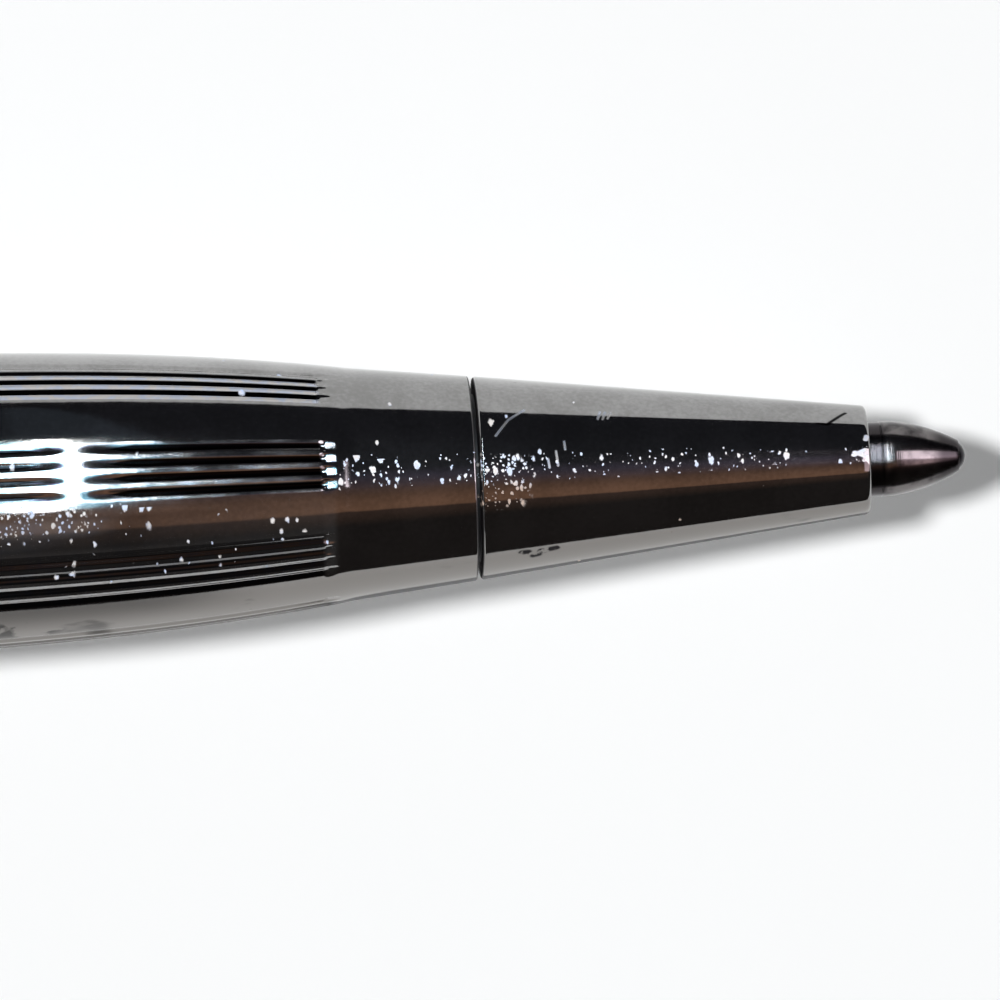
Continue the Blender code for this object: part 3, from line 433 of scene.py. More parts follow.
def chrome(name, marks=None):
    """Chrome plate: a mirror with haze and dust on its upper side. One side is painted darker as shade,
    with dark smears on it. A band low on one flank is a painted reflection of shadow, and a faint pale
    haze near the lamp's highlight is painted glare.

    The marks, where a piece has them, are masks of dark film and painted shade, of painted shade and dirt
    in a seam, and of pale worn places and painted highlights.
    """
    material, shader, place = new_finish(name)
    x, y, z = place.parts()
    station = 0.0 - x
    turn = place.math("ARCTAN2", 0.0 - y, z)
    darkening, seam_shade_and_dirt, wear_and_highlights = marks(place, station, turn) if marks else (0.0, 0.0, 0.0)

    patch = place.noise(0.8, 2.0).step(0.38, 0.55)
    crown = turn.within(CROWN_DUST) * station.step(*CROWN_DUST_END)
    lower = turn.within(LOWER_DUST) * station.step(*LOWER_DUST_START)
    lower = lower * (1.0 - 0.85 * station.step(*LOWER_DUST_THINS)) * patch
    frost = turn.within(FROST) * station.within(FROST_LENGTH)
    dust = place.spots(3.2, 0.01 + 0.4 * lower + 0.45 * crown, 0.2, (1.3, 0.9, 0.9))
    chips = place.spots(6.5, 0.85 * crown * patch + 0.9 * frost, 0.08 + 0.04 * frost, (1.2, 0.9, 0.9))
    # A faint pale haze over the frost near the lamp's highlight is painted glare.
    pale = dust.most(0.8 * chips, wear_and_highlights, 0.15 * frost * turn.step(*GLARE_HAZE))

    # One side of the plate is painted darker, as painted shade, and dark smears of dirt lie on it.
    shade_and_smear_side = turn.within(SHADE_AND_SMEAR_SIDE)
    smears = shade_and_smear_side * place.noise(0.7, 4.0, (0.4, 1.0, 1.0)).step(0.60, 0.72)
    specks = place.spots(1.6, 0.12, 0.07, (0.8, 1.0, 1.0))
    # A band low on one flank is painted dark: a painted reflection of the shadow under the pen.
    reflected_shadow = (turn - 0.07 * station.step(*REFLECTED_SHADOW_NARROWS)).step(*REFLECTED_SHADOW) * turn.step(*REFLECTED_SHADOW_END)
    reflected_shadow = reflected_shadow * (1.0 - 0.5 * station.step(*REFLECTED_SHADOW_THINS)) * station.step(*DIRT_AND_SHADE_END)
    # Dark film, dirt and painted shade all take the same dark colour.
    dirt_and_shade = reflected_shadow.most(darkening, seam_shade_and_dirt, 0.6 * smears.most(specks))
    cover = pale.most(seam_shade_and_dirt, 0.8 * reflected_shadow)

    haze = 0.55 * place.noise(0.5, 5.0) + 0.45 * place.noise(7.0, 3.0)
    plate = shade_and_smear_side.mix(haze.step(0.34, 0.66).mix(CHROME_DULL, CHROME_BRIGHT), CHROME_SHADED_SIDE)
    pale_tone = place.noise(2.5).step(0.4, 0.6).mix(PALE_WARM, PALE_COOL)
    pale_tone = (turn.step(*BROWN_CRUST) * station.step(*CROWN_DUST_END)).mix(pale_tone, DUST_BROWN)
    feed(
        shader, Base_Color=pale.mix(dirt_and_shade.mix(plate, DARK_DIRT_AND_SHADE), pale_tone), Metallic=1.0 - cover,
        Roughness=0.04 + 0.05 * haze + 0.5 * cover, Normal=place.noise(1.2, 2.0).bump(0.5, 0.004),
    )
    return material


def strokes(station, turn, lines, width):
    """Masks along straight lines. Each falls off with the distance from the nearest point of its line.

    A turn counts as a length, at the radius of the marks.
    """
    masks = []
    for line in lines:
        (u0, v0), (u1, v1) = ((at, MARK_RADIUS * np.radians(angle)) for at, angle in line)
        du, dv = u1 - u0, v1 - v0
        u, v = station - u0, MARK_RADIUS * turn - v0
        way = (u * du + v * dv) * (1 / (du * du + dv * dv))
        way = way.math("MINIMUM", way.most(0.0), 1.0)
        u, v = u - way * du, v - way * dv
        masks.append(u.math("SQRT", u * u + v * v).step(width, 0.4 * width))
    return masks


def nose_marks(place, station, turn):
    """A dark nick at the mouth, blots, painted shade and dirt in the seam, and scratches.

    A crust of chips lies before the seam, and pale painted highlights lie at the mouth.
    """
    crust = station.step(*CRUST_START) * turn.within(CRUST)
    wear_and_highlights = place.spots(3.5, 0.8, 0.2, (1.4, 0.8, 0.8)) * crust.step(0.1, 0.4)
    wear_and_highlights = wear_and_highlights.most(place.spots(7.0, 0.9, 0.09) * crust.step(0.2, 0.7))
    wear_and_highlights = wear_and_highlights.most(*(0.3 * mask for mask in strokes(station, turn, SCRATCHES, SCRATCH_WIDTH)))
    # Painted highlights: pale glints on the mouth, in the same pale tones as dust.
    wear_and_highlights = wear_and_highlights.most(*(0.8 * mask for mask in strokes(station, turn, PAINTED_GLINTS, PAINTED_GLINT_WIDTH)))
    ragged = place.noise(5.0, 3.0).step(0.38, 0.52)
    first, *others = strokes(station, turn, NICK, NICK_WIDTH)
    darkening = first.most(*others, *(ragged * mask for mask in strokes(station, turn, BLOTS, BLOT_WIDTH)))
    # Painted shade, with dirt, darkens the cone's rear face at the seam.
    seam_shade_and_dirt = station.within(CONE_REAR + reach for reach in CONE_SEAM_SHADE_AND_DIRT)
    return darkening, seam_shade_and_dirt, wear_and_highlights


def add_nose_cone():
    """A straight-sided cone with a rounded mouth, a chamfered rear edge, and a threaded spigot behind it.

    The thread's depth is a triangle wave of station / pitch + turn / 2 pi, which fades out at both ends. Two
    more rows at each end of the cone keep its sides straight.
    """
    groove = SPIGOT_RADIUS - SEAL_DEPTH
    slope = (CONE_RADIUS - MOUTH_RADIUS) / (CONE_REAR - CONE_CHAMFER - MOUTH_STATION)
    straight = [MOUTH_STATION + times * MOUTH_EDGE for times in (2, 4)]
    straight += [CONE_REAR - times * CONE_CHAMFER for times in (4, 2)]
    corners = [
        (MOUTH_STATION, MOUTH_BORE, MOUTH_INNER_EDGE), (MOUTH_STATION, MOUTH_RADIUS, MOUTH_EDGE),
        *((at, MOUTH_RADIUS + (at - MOUTH_STATION) * slope, 0.0) for at in straight),
        (CONE_REAR - CONE_CHAMFER, CONE_RADIUS, CHAMFER_EDGE),
        (CONE_REAR, FRONT_RADIUS - CONE_CHAMFER, CHAMFER_EDGE),
        (CONE_REAR, SPIGOT_RADIUS, 0.0), (SEAL_FRONT, SPIGOT_RADIUS, 0.0), (SEAL_FRONT, groove, 0.0),
        (SEAL_REAR, groove, 0.0), (SEAL_REAR, SPIGOT_RADIUS, 0.0),
        *((at, SPIGOT_RADIUS, 0.0) for at in np.linspace(THREAD_FRONT, THREAD_REAR, 50)),
        (SPIGOT_REAR, SPIGOT_RADIUS, SPIGOT_EDGE), (SPIGOT_REAR, CHAMBER_RADIUS, 0.0),
        (CHAMBER_FRONT, CHAMBER_RADIUS, 0.0), (CHAMBER_FRONT, MOUTH_BORE, 0.0),
    ]
    station, radius = np.split(rounded(corners), 2, axis=1)
    turns = np.linspace(0, 2 * np.pi, 160, endpoint=False)
    fade = np.clip(np.minimum(station - THREAD_FRONT, THREAD_REAR - station) / THREAD_PITCH, 0, 1)
    wave = np.abs(2 * ((station / THREAD_PITCH + turns / (2 * np.pi)) % 1) - 1)
    thread = np.where(np.isclose(radius, SPIGOT_RADIUS), THREAD_DEPTH * fade * wave, 0.0)
    grid = on_pen(station, radius - thread, turns[None])
    piece = add_skin("nose", grid, chrome("chrome_nose", nose_marks))
    place_piece(piece, "nose_body", "chrome", "nose_cone")


add_nose_cone()


# Barrel
# A drawn brass tube, engraved with eight groups of four fine lines and chrome plated. A smooth band at its
# front carries on the nose cone's line up to a low shoulder, where the lines begin in round dishes. Over a
# short stretch one group is almost level, so that the lamp shows there as one patch.
BARREL_FRONT = 15.5
BARREL_REAR = 68.0
BARREL_EDGE = 0.05
BAND_SLOPE = 0.113
SHOULDER = 19.7
SHOULDER_LENGTH = 0.5
SHOULDER_STEP = 0.02
FULL_SIZE = 42.0
SWELL_POWER = 3.1
BODY_RADIUS = 4.75
BORE_RADIUS = 4.0
BORE_FRONT = 34.0
SOCKET_RADIUS = 2.75
SOCKET_REAR = 24.0
LINES_FRONT = SHOULDER + 0.1
LINES_REAR = BARREL_REAR - 1.1
GROUPS = 8
GROUP_PITCH = 2 * np.pi / GROUPS
FIRST_GROUP = np.radians(27.8)
LINES_A_GROUP = 4
LINE_PITCH = np.radians(6.2)
LINE_DEPTH = 0.054
LINE_DISH = 0.46
DISH_SHARE = 0.84
DISH_CURVE = 0.2
DISH_BLEND = 0.85
LINE_RUNOUT = 0.54
LINE_POINTS = 22
PANEL_POINTS = 10
LEVEL_STATION = 27.9
LEVEL_LENGTH = 0.95
LEVEL_LENGTH_POWER = 2.5
LEVEL_WIDTH = 0.26
LEVEL_WIDTH_POWER = 8
LEVEL_SHARE = 0.9

# Where the lines' film, wear, dullness, painted shade and painted reflection lie, as spans or single
# steps of turns or of stations
UPPER_GROUP = (-0.60, -0.55, 0.0, 0.05)
SIDE_GROUP = (-1.20, -1.17, -0.84, -0.80)
LOWER_GROUP = (0.20, 0.25, 0.9, 1.0)
FLANK_SHADE = (0.62, 0.68, 0.72, 1.02)
FLANK_SHADE_START = (21.5, 26.0)
MOTTLE = (0.80, 0.88, 1.0, 1.12)
MOTTLE_START = (28.0, 29.0)
PANEL_FILM = (-0.02, 0.03, 0.22, 0.27)
PANEL_FILM_GROWS = (22.5, 26.5)
DULL_SIDE = (-0.1, 0.1, 0.6, 0.75)
DULL_EDGE = 0.25
SEAM_SHADE_AND_DIRT = (0.06, 0.03)
FILM_NARROWS = (1.9, 0.6)


def line_turns():
    """Turns of the mesh columns: close together across the lines, further apart on the panels between."""
    half = LINES_A_GROUP * LINE_PITCH / 2
    lines = np.linspace(-half, half, LINES_A_GROUP * LINE_POINTS + 1)
    panel = np.linspace(half, GROUP_PITCH - half, PANEL_POINTS + 2)[1:-1]
    centres = FIRST_GROUP + GROUP_PITCH * np.arange(GROUPS)
    return (centres[:, None] + np.concatenate([lines, panel])[None]).ravel()


def line_depth(stations, turns, front, rear):
    """Depth of the lines.

    Across, it is the third power of a sine wave. Each end is a round dish: from a curved edge its floor
    slopes down at a steady rate, flat across as 1 less the tenth power of a cosine wave. Then the line
    begins.
    """
    phase = ((turns - FIRST_GROUP + GROUP_PITCH / 2) % GROUP_PITCH - GROUP_PITCH / 2) / LINE_PITCH
    marked = np.abs(phase) < LINES_A_GROUP / 2
    line = np.where(marked, np.abs(np.sin(np.pi * phase)) ** 3, 0.0)
    flat = np.where(marked, 1 - np.cos(np.pi * phase) ** 10, 0.0)
    aside = np.abs(2 * (phase % 1) - 1)
    along = np.minimum(stations - front, rear - stations)[:, None]
    dish = np.clip((along - DISH_CURVE * (1 - np.sqrt(1 - aside ** 2))) / LINE_DISH, 0, 1)
    past = np.clip((along - LINE_DISH) / (LINE_RUNOUT - LINE_DISH), 0, 1)
    begin = DISH_BLEND * LINE_DISH
    blend = np.clip((along - begin) / (LINE_RUNOUT - begin), 0, 1)
    return LINE_DEPTH * (DISH_SHARE * dish + (1 - DISH_SHARE) * past) * (flat + (line - flat) * blend)


def line_marks(front, rear, seam=None):
    """Marks of an engraved tube: film in the lines, crests worn pale, a dull lower side, painted shade
    and dirt in the seam, and painted shade on the lower flank.

    On top of the tube the film fills the lines. On its sides painted shade lies on one slope of each line,
    and on one side a pale painted reflection lies on the other slope. The worn crests on top are also a
    painted highlight. Where a group is almost level, the film gets narrower towards that place.
    """
    def marks(place, station, turn):
        spread = place.math("MODULO", turn - FIRST_GROUP + 4.5 * GROUP_PITCH, GROUP_PITCH)
        phase = (spread - GROUP_PITCH / 2) * (1 / LINE_PITCH)
        above = place.math("ROUND", phase) - phase
        crest = abs(above)
        dish_in, dish_out = 0.9 * LINE_DISH, 1.1 * LINE_RUNOUT
        engraved = station.within((front + dish_in, front + dish_out, rear - dish_out, rear - dish_in))
        inside = place.math("LESS_THAN", abs(phase), LINES_A_GROUP / 2) * engraved
        upper, side, lower = (turn.within(group) * inside for group in (UPPER_GROUP, SIDE_GROUP, LOWER_GROUP))
        front_part = engraved * station.step(*DIRT_AND_SHADE_END)
        shaded = station.step(*FLANK_SHADE_START) * front_part

        bare = station.step(*(LEVEL_STATION - reach for reach in FILM_NARROWS))
        bare = bare * (0.4 + 0.6 * station.step(*(LEVEL_STATION + reach for reach in FILM_NARROWS)))
        mottle = place.noise(1.5, 4.0).step(0.40, 0.54) * turn.within(MOTTLE) * station.step(*MOTTLE_START)
        panel = turn.within(PANEL_FILM) * front_part
        # On the sides the dark on one slope of each line is painted shade, and so is the darker lower flank.
        darkening = ((crest - 0.29 * bare).step(0.22, 0.30) * upper).most(
            above.step(0.06, 0.14) * lower, above.step(-0.08, -0.16) * side,
            0.6 * phase.step(-0.45, -0.55) * lower, 0.55 * turn.within(FLANK_SHADE) * shaded,
            0.8 * mottle * shaded, (0.2 + 0.25 * station.step(*PANEL_FILM_GROWS)) * panel,
        )
        # Painted shade, with dirt, darkens the tube's front at the seam.
        seam_shade_and_dirt = station.step(*(seam + reach for reach in SEAM_SHADE_AND_DIRT)) if seam else 0.0
        # The pale crests on top are worn chrome and also a painted highlight. The pale slope is a painted
        # reflection.
        crest_wear_and_highlight = crest.step(0.30, 0.08) * upper * place.noise(2.0, 4.0, (0.25, 1.0, 1.0)).step(0.35, 0.75)
        dull = turn.within(DULL_SIDE) * station.within((front, front + DULL_EDGE, rear - DULL_EDGE, rear))
        painted_reflection = above.step(-0.10, -0.04) * side
        return darkening, seam_shade_and_dirt, (0.22 * crest_wear_and_highlight).most(0.035 * dull, 0.45 * painted_reflection)
    return marks


def barrel_radius(station):
    """Outside radius: a straight cone, a soft step at the shoulder, then a power curve to the full size."""
    band = FRONT_RADIUS + (station - CONE_REAR) * BAND_SLOPE
    start = FRONT_RADIUS + (SHOULDER - CONE_REAR) * BAND_SLOPE + SHOULDER_STEP
    share = np.clip((FULL_SIZE - station) / (FULL_SIZE - SHOULDER), 0, None)
    swell = BODY_RADIUS - (BODY_RADIUS - start) * share ** SWELL_POWER
    step = np.clip((station - SHOULDER) / SHOULDER_LENGTH + 1, 0, 1)
    return band + (swell - band) * step ** 2 * (3 - 2 * step)


def add_tube(name, stations, outside, bore, turns, material):
    """A tube from a grid of outside radii, by stations and turns, and the (station, radius) of its bore."""
    inside = np.broadcast_to(bore[:, 1:], (len(bore), len(turns)))
    along = np.concatenate([stations, bore[:, 0]])[:, None]
    return add_skin(name, on_pen(along, np.concatenate([outside, inside]), turns[None]), material)


def soften_ends(radius, edge):
    """Takes the sharp edge off both ends of a row of radii."""
    radius[[0, 1, -2, -1]] -= edge * np.array([1.0, 0.3, 0.3, 1.0])


def add_barrel():
    """The outside is a grid of stations and turns with the lines taken off. The bore is a plain tube.

    The share of the lines' depth that the level stretch lacks is a bell curve, flat-topped along the pen and
    more so across it.
    """
    turns = line_turns()
    stations = np.concatenate([
        BARREL_FRONT + BARREL_EDGE * np.array([0.0, 0.3, 1.0, 1.5]),
        np.linspace(BARREL_FRONT + 0.5, SHOULDER - SHOULDER_LENGTH - 0.1, 8),
        np.linspace(SHOULDER - SHOULDER_LENGTH, SHOULDER + 0.08, 9),
        np.linspace(SHOULDER + 0.12, SHOULDER + 0.9, 20),
        np.linspace(SHOULDER + 1.0, LEVEL_STATION - 1.2, 11),
        np.linspace(LEVEL_STATION - 1.0, LEVEL_STATION + 1.0, 15),
        np.linspace(LEVEL_STATION + 1.4, FULL_SIZE, 20),
        np.linspace(FULL_SIZE + 2, BARREL_REAR - 1.8, 8),
        np.linspace(BARREL_REAR - 1.7, BARREL_REAR - 0.9, 12),
        BARREL_REAR - BARREL_EDGE * np.array([1.0, 0.3, 0.0]),
    ])
    radius = barrel_radius(stations)
    soften_ends(radius, BARREL_EDGE)
    around = (turns - FIRST_GROUP + GROUP_PITCH + np.pi) % (2 * np.pi) - np.pi
    level = np.exp(-np.abs((stations - LEVEL_STATION) / LEVEL_LENGTH) ** LEVEL_LENGTH_POWER)[:, None]
    level = level * np.exp(-(around / LEVEL_WIDTH) ** LEVEL_WIDTH_POWER)
    depth = line_depth(stations, turns, LINES_FRONT, LINES_REAR)
    outside = radius[:, None] - depth * (1 - LEVEL_SHARE * level)
    bore = np.array([
        (BARREL_REAR, BORE_RADIUS), (BORE_FRONT, BORE_RADIUS),
        (SOCKET_REAR, SOCKET_RADIUS), (BARREL_FRONT, SOCKET_RADIUS),
    ])
    material = chrome("chrome_barrel", line_marks(LINES_FRONT, LINES_REAR, BARREL_FRONT))
    piece = add_tube("barrel_shell", stations, outside, bore, turns, material)
    place_piece(piece, "barrel_body", "chrome", "barrel")


add_barrel()


# Refill, return spring and nose seal
# A drawn brass tube filled with ink and closed by a plastic plug, a spring of hard steel wire round its neck,
# and a rubber ring on the nose cone's spigot. They keep their solids, which the shells around them hide at
# rest.
BRASS_BRIGHT = (0.66, 0.46, 0.18)
BRASS_DARK = (0.42, 0.27, 0.10)
STEEL_BRIGHT = (0.52, 0.52, 0.53)
STEEL_DARK = (0.33, 0.33, 0.34)
RUBBER_LIGHT = (0.022, 0.022, 0.024)
RUBBER_DARK = (0.012, 0.012, 0.013)
PLASTIC_LIGHT = (0.72, 0.71, 0.68)
PLASTIC_DARK = (0.62, 0.61, 0.57)
INK_LIGHT = (0.01, 0.02, 0.14)
INK_DARK = (0.006, 0.01, 0.08)


def moulded(name, light, dark, roughness, grain):
    """Moulded plastic or rubber: a faintly uneven colour and the fine texture of its mould."""
    material, shader, place = new_finish(name)
    texture = place.noise(grain, 2.0)
    feed(
        shader, Base_Color=place.noise(0.6).step(0.3, 0.7).mix(light, dark),
        Roughness=roughness + 0.15 * texture, Normal=texture.bump(0.4, 0.01),
    )
    return material


def finish_nodes(material, *names):
    """Gives a finish to solids that stay as they are."""
    for name in names:
        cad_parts[name].data.materials.clear()
        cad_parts[name].data.materials.append(material)


brass = worn_metal("brass", BRASS_BRIGHT, BRASS_DARK, roughness=0.24, grain=0.9)
steel = worn_metal("spring_steel", STEEL_BRIGHT, STEEL_DARK, roughness=0.22, grain=1.5)
rubber = moulded("black_rubber", RUBBER_LIGHT, RUBBER_DARK, roughness=0.6, grain=7.0)
plastic = moulded("white_plastic", PLASTIC_LIGHT, PLASTIC_DARK, roughness=0.35, grain=5.0)
ink = moulded("blue_ink", INK_LIGHT, INK_DARK, roughness=0.2, grain=1.0)
finish_nodes(brass, "refill_tube")
finish_nodes(ink, "ink")
finish_nodes(plastic, "refill_plug")
finish_nodes(steel, "return_spring")
finish_nodes(rubber, "nose_seal")


# Twist mechanism
# A brass housing screwed into the barrel's bush, a plastic follower with a steel cross pin, and a brass cam
# sleeve that turns with the cap. A washer, a spring ring and a rubber ring hold it together.
finish_nodes(brass, "barrel_bush", "mechanism_housing", "cam_sleeve", "cap_bush")
finish_nodes(plastic, "follower", "thrust_washer")
finish_nodes(steel, "cross_pin", "retaining_ring", "finial_stud")
finish_nodes(rubber, "friction_ring")


# Centre band
# A plain ring, turned from brass, polished and plated. The housing's flange clamps it against the barrel's
# rear end.
BAND_FRONT = 68.2
BAND_REAR = 70.8
BAND_BORE = 3.75
BAND_EDGE = 0.15
BAND_CROWN = 0.6
BAND_EDGE_RADIUS = BODY_RADIUS - 0.02


def add_centre_band():
    """A short tube with rounded edges and a barely crowned outside."""
    middle = (BAND_FRONT + BAND_REAR) / 2
    corners = [
        (BAND_FRONT, BAND_BORE, 0.0), (BAND_FRONT, BAND_EDGE_RADIUS, BAND_EDGE),
        (middle, BODY_RADIUS, BAND_CROWN),
        (BAND_REAR, BAND_EDGE_RADIUS, BAND_EDGE), (BAND_REAR, BAND_BORE, 0.0),
    ]
    piece = turned("band", rounded(corners), chrome("chrome_band"), 160)
    place_piece(piece, "barrel_body", "chrome", "centre_band")


add_centre_band()


# Cap
# A drawn brass tube, engraved like the barrel and chrome plated. Behind the lines it is plain, and it tapers
# a little towards the clip's ring.
CAP_FRONT = 71.0
CAP_REAR = 128.0
CAP_EDGE = 0.1
CAP_LINES_FRONT = 73.2
CAP_LINES_REAR = 118.6
CAP_TAPER = 112.0
CAP_REAR_RADIUS = 4.1
CAP_BORE_REAR = 120.0
CAP_END_BORE = 3.35


def add_cap():
    """The outside radius falls with the square of the distance behind the taper's start.

    The bore is stepped.
    """
    turns = line_turns()
    stations = np.concatenate([
        CAP_FRONT + CAP_EDGE * np.array([0.0, 0.3, 1.0]),
        np.linspace(CAP_FRONT + 0.6, CAP_LINES_FRONT - 0.1, 3),
        np.linspace(CAP_LINES_FRONT, CAP_LINES_FRONT + LINE_RUNOUT, 14),
        np.linspace(CAP_LINES_FRONT + 2, CAP_TAPER, 12),
        np.linspace(CAP_TAPER + 1, CAP_LINES_REAR - LINE_RUNOUT - 0.1, 6),
        np.linspace(CAP_LINES_REAR - LINE_RUNOUT, CAP_LINES_REAR, 14),
        np.linspace(CAP_LINES_REAR + 0.4, CAP_REAR - 0.5, 14),
        CAP_REAR - CAP_EDGE * np.array([1.0, 0.3, 0.0]),
    ])
    share = np.clip((stations - CAP_TAPER) / (CAP_REAR - CAP_TAPER), 0, 1)
    radius = BODY_RADIUS - (BODY_RADIUS - CAP_REAR_RADIUS) * share ** 2
    soften_ends(radius, CAP_EDGE)
    outside = radius[:, None] - line_depth(stations, turns, CAP_LINES_FRONT, CAP_LINES_REAR)
    bore = np.array([
        (CAP_REAR, CAP_END_BORE), (CAP_BORE_REAR, CAP_END_BORE),
        (CAP_BORE_REAR, BORE_RADIUS), (CAP_FRONT, BORE_RADIUS),
    ])
    material = chrome("chrome_cap", line_marks(CAP_LINES_FRONT, CAP_LINES_REAR))
    piece = add_tube("cap_shell", stations, outside, bore, turns, material)
    place_piece(piece, "cap_body", "chrome", "cap")


add_cap()


# Clip and its ring
# One strip of spring steel, stamped, bent and chrome plated. Its ring is held between cap and finial, and a
# tab of the ring folds into the arm, whose bump bears on the cap near its free end.
CLIP_TURN = np.radians(123.79)
CLIP_INNER = 5.35
CLIP_OUTER = 6.15
CLIP_HALF_WIDTH = 1.6
CLIP_END_HALF_WIDTH = 1.15
CLIP_FRONT = 88.05
CLIP_REAR = 128.05
CLIP_BROAD = 120.05
CLIP_END = 1.2
CLIP_END_SHARE = 0.35
CLIP_END_LIFT = 0.25
CLIP_BUMP = 90.45
CLIP_BUMP_REAR = 93.5
CLIP_BUMP_WIDTH = 0.8
CLIP_BUMP_HEIGHT = 0.48
CLIP_DENT = 0.3
CLIP_ACROSS_POWER = 0.35
CLIP_THROUGH_POWER = 0.45
RING_FRONT = 128.2
RING_THICKNESS = 0.7
RING_EDGE = 0.06
RING_RADIUS = 3.95
RING_BORE = 1.15


def add_clip():
    """A rounded rectangle, whose sides are powers of a cosine and a sine, carried along the arm.

    The half width grows evenly from the free end, which closes in a half ellipse, to the broad end. The bump
    is a bell curve that pushes the inner face towards the cap and dents the outer one.
    """
    stations = np.concatenate([
        CLIP_FRONT + CLIP_END * (1 - np.cos(np.linspace(0.05, np.pi / 2, 14))),
        np.linspace(CLIP_FRONT + CLIP_END + 0.2, CLIP_BUMP_REAR, 30),
        np.linspace(CLIP_BUMP_REAR + 0.5, CLIP_BROAD, 12),
        np.linspace(CLIP_BROAD + 1, CLIP_REAR, 6),
    ])
    share = np.clip((stations - CLIP_FRONT) / (CLIP_BROAD - CLIP_FRONT), 0, 1)
    half = CLIP_END_HALF_WIDTH + (CLIP_HALF_WIDTH - CLIP_END_HALF_WIDTH) * share
    close = np.sqrt(np.clip(1 - (1 - np.clip((stations - CLIP_FRONT) / CLIP_END, 0, 1)) ** 2, 0, 1))
    half = half * (CLIP_END_SHARE + (1 - CLIP_END_SHARE) * close)
    bump = CLIP_BUMP_HEIGHT * np.exp(-((stations - CLIP_BUMP) / CLIP_BUMP_WIDTH) ** 2)
    lift = CLIP_END_LIFT * (1 - close)
    inner = CLIP_INNER - bump + lift
    outer = CLIP_OUTER - CLIP_DENT * bump - CLIP_DENT * lift
    angle = np.linspace(0, 2 * np.pi, 48, endpoint=False)
    across = np.sign(np.cos(angle)) * np.abs(np.cos(angle)) ** CLIP_ACROSS_POWER
    through = np.sign(np.sin(angle)) * np.abs(np.sin(angle)) ** CLIP_THROUGH_POWER
    side = half[:, None] * across
    reach = (inner + outer)[:, None] / 2 + (outer - inner)[:, None] / 2 * through
    grid = on_pen(stations[:, None], np.hypot(reach, side), CLIP_TURN + np.arctan2(side, reach))
    front, rear = (np.broadcast_to(row.mean(axis=0), (1, *row.shape)) for row in (grid[0], grid[-1]))
    piece = add_skin("clip_arm", np.concatenate([front, grid, rear]), chrome("chrome_clip"), looped=False)
    place_piece(piece, "clip_body", "chrome", "clip")


def add_clip_ring():
    """A washer with a straight-sided tab.

    Its outer edge is the ring's radius or, where that is further out, the nearer of the tab's end and sides.
    The section is a rectangle with softened corners.
    """
    fold = np.arctan2(CLIP_HALF_WIDTH, CLIP_OUTER)
    root = np.arcsin(CLIP_HALF_WIDTH / RING_RADIUS)
    near = np.concatenate([
        np.linspace(0, fold, 7), np.linspace(fold, root, 14)[1:], np.linspace(root, np.pi, 70)[1:],
    ])
    offset = np.concatenate([-near[:0:-1], near[:-1]])
    sine = np.maximum(np.abs(np.sin(offset)), 1e-6)
    cosine = np.maximum(np.cos(offset), 1e-6)
    tab = np.minimum(CLIP_OUTER / cosine, CLIP_HALF_WIDTH / sine)
    outer = np.where(np.abs(offset) < np.pi / 2, np.maximum(tab, RING_RADIUS), RING_RADIUS)
    rear = RING_FRONT + RING_THICKNESS
    section = rounded([
        (RING_FRONT, 0.0, 0.0), (RING_FRONT, 1.0, RING_EDGE), (rear, 1.0, RING_EDGE), (rear, 0.0, 0.0),
    ])
    radius = RING_BORE + (outer[None] - RING_BORE) * section[:, 1:]
    grid = on_pen(section[:, :1], radius, CLIP_TURN + offset[None])
    piece = add_skin("clip_washer", grid, chrome("chrome_ring"))
    place_piece(piece, "cap_body", "chrome", "clip_ring")


add_clip()
add_clip_ring()


# Finial
# A turned and plated dome with a small flat face. A steel stud in its blind hole pulls it, the clip's ring
# and the cap together.
FINIAL_FRONT = 129.1
FINIAL_STRAIGHT = 1.6
FINIAL_EDGE = 0.12
FINIAL_RADIUS = 3.95
FINIAL_FACE_RADIUS = 2.2
FINIAL_FACE_EDGE = 0.06
FINIAL_REAR = 136.0
FINIAL_HOLE = 132.6
STUD_HOLE = 1.05
DOME_POWER = 2.2


def add_finial():
    """The radius falls with a power of the way from the straight part to the flat face."""
    share = np.linspace(0.02, 0.985, 24)
    straight = FINIAL_FRONT + FINIAL_STRAIGHT
    dome = np.stack([
        straight + (FINIAL_REAR - straight) * share,
        FINIAL_RADIUS - (FINIAL_RADIUS - FINIAL_FACE_RADIUS) * share ** DOME_POWER,
    ], axis=1)
    start = np.array([
        (FINIAL_HOLE, 0.0), (FINIAL_HOLE, STUD_HOLE), (FINIAL_FRONT, STUD_HOLE),
        (FINIAL_FRONT, FINIAL_RADIUS - FINIAL_EDGE),
        (FINIAL_FRONT + FINIAL_EDGE / 4, FINIAL_RADIUS - FINIAL_EDGE / 3),
        (FINIAL_FRONT + FINIAL_EDGE, FINIAL_RADIUS),
    ])
    face = np.array([(FINIAL_REAR, FINIAL_FACE_RADIUS - FINIAL_FACE_EDGE), (FINIAL_REAR, 0.0)])
    profile = np.concatenate([start, dome, face])
    piece = turned("finial_dome", profile, chrome("chrome_finial"), 144, looped=False)
    place_piece(piece, "cap_body", "chrome", "finial")


add_finial()


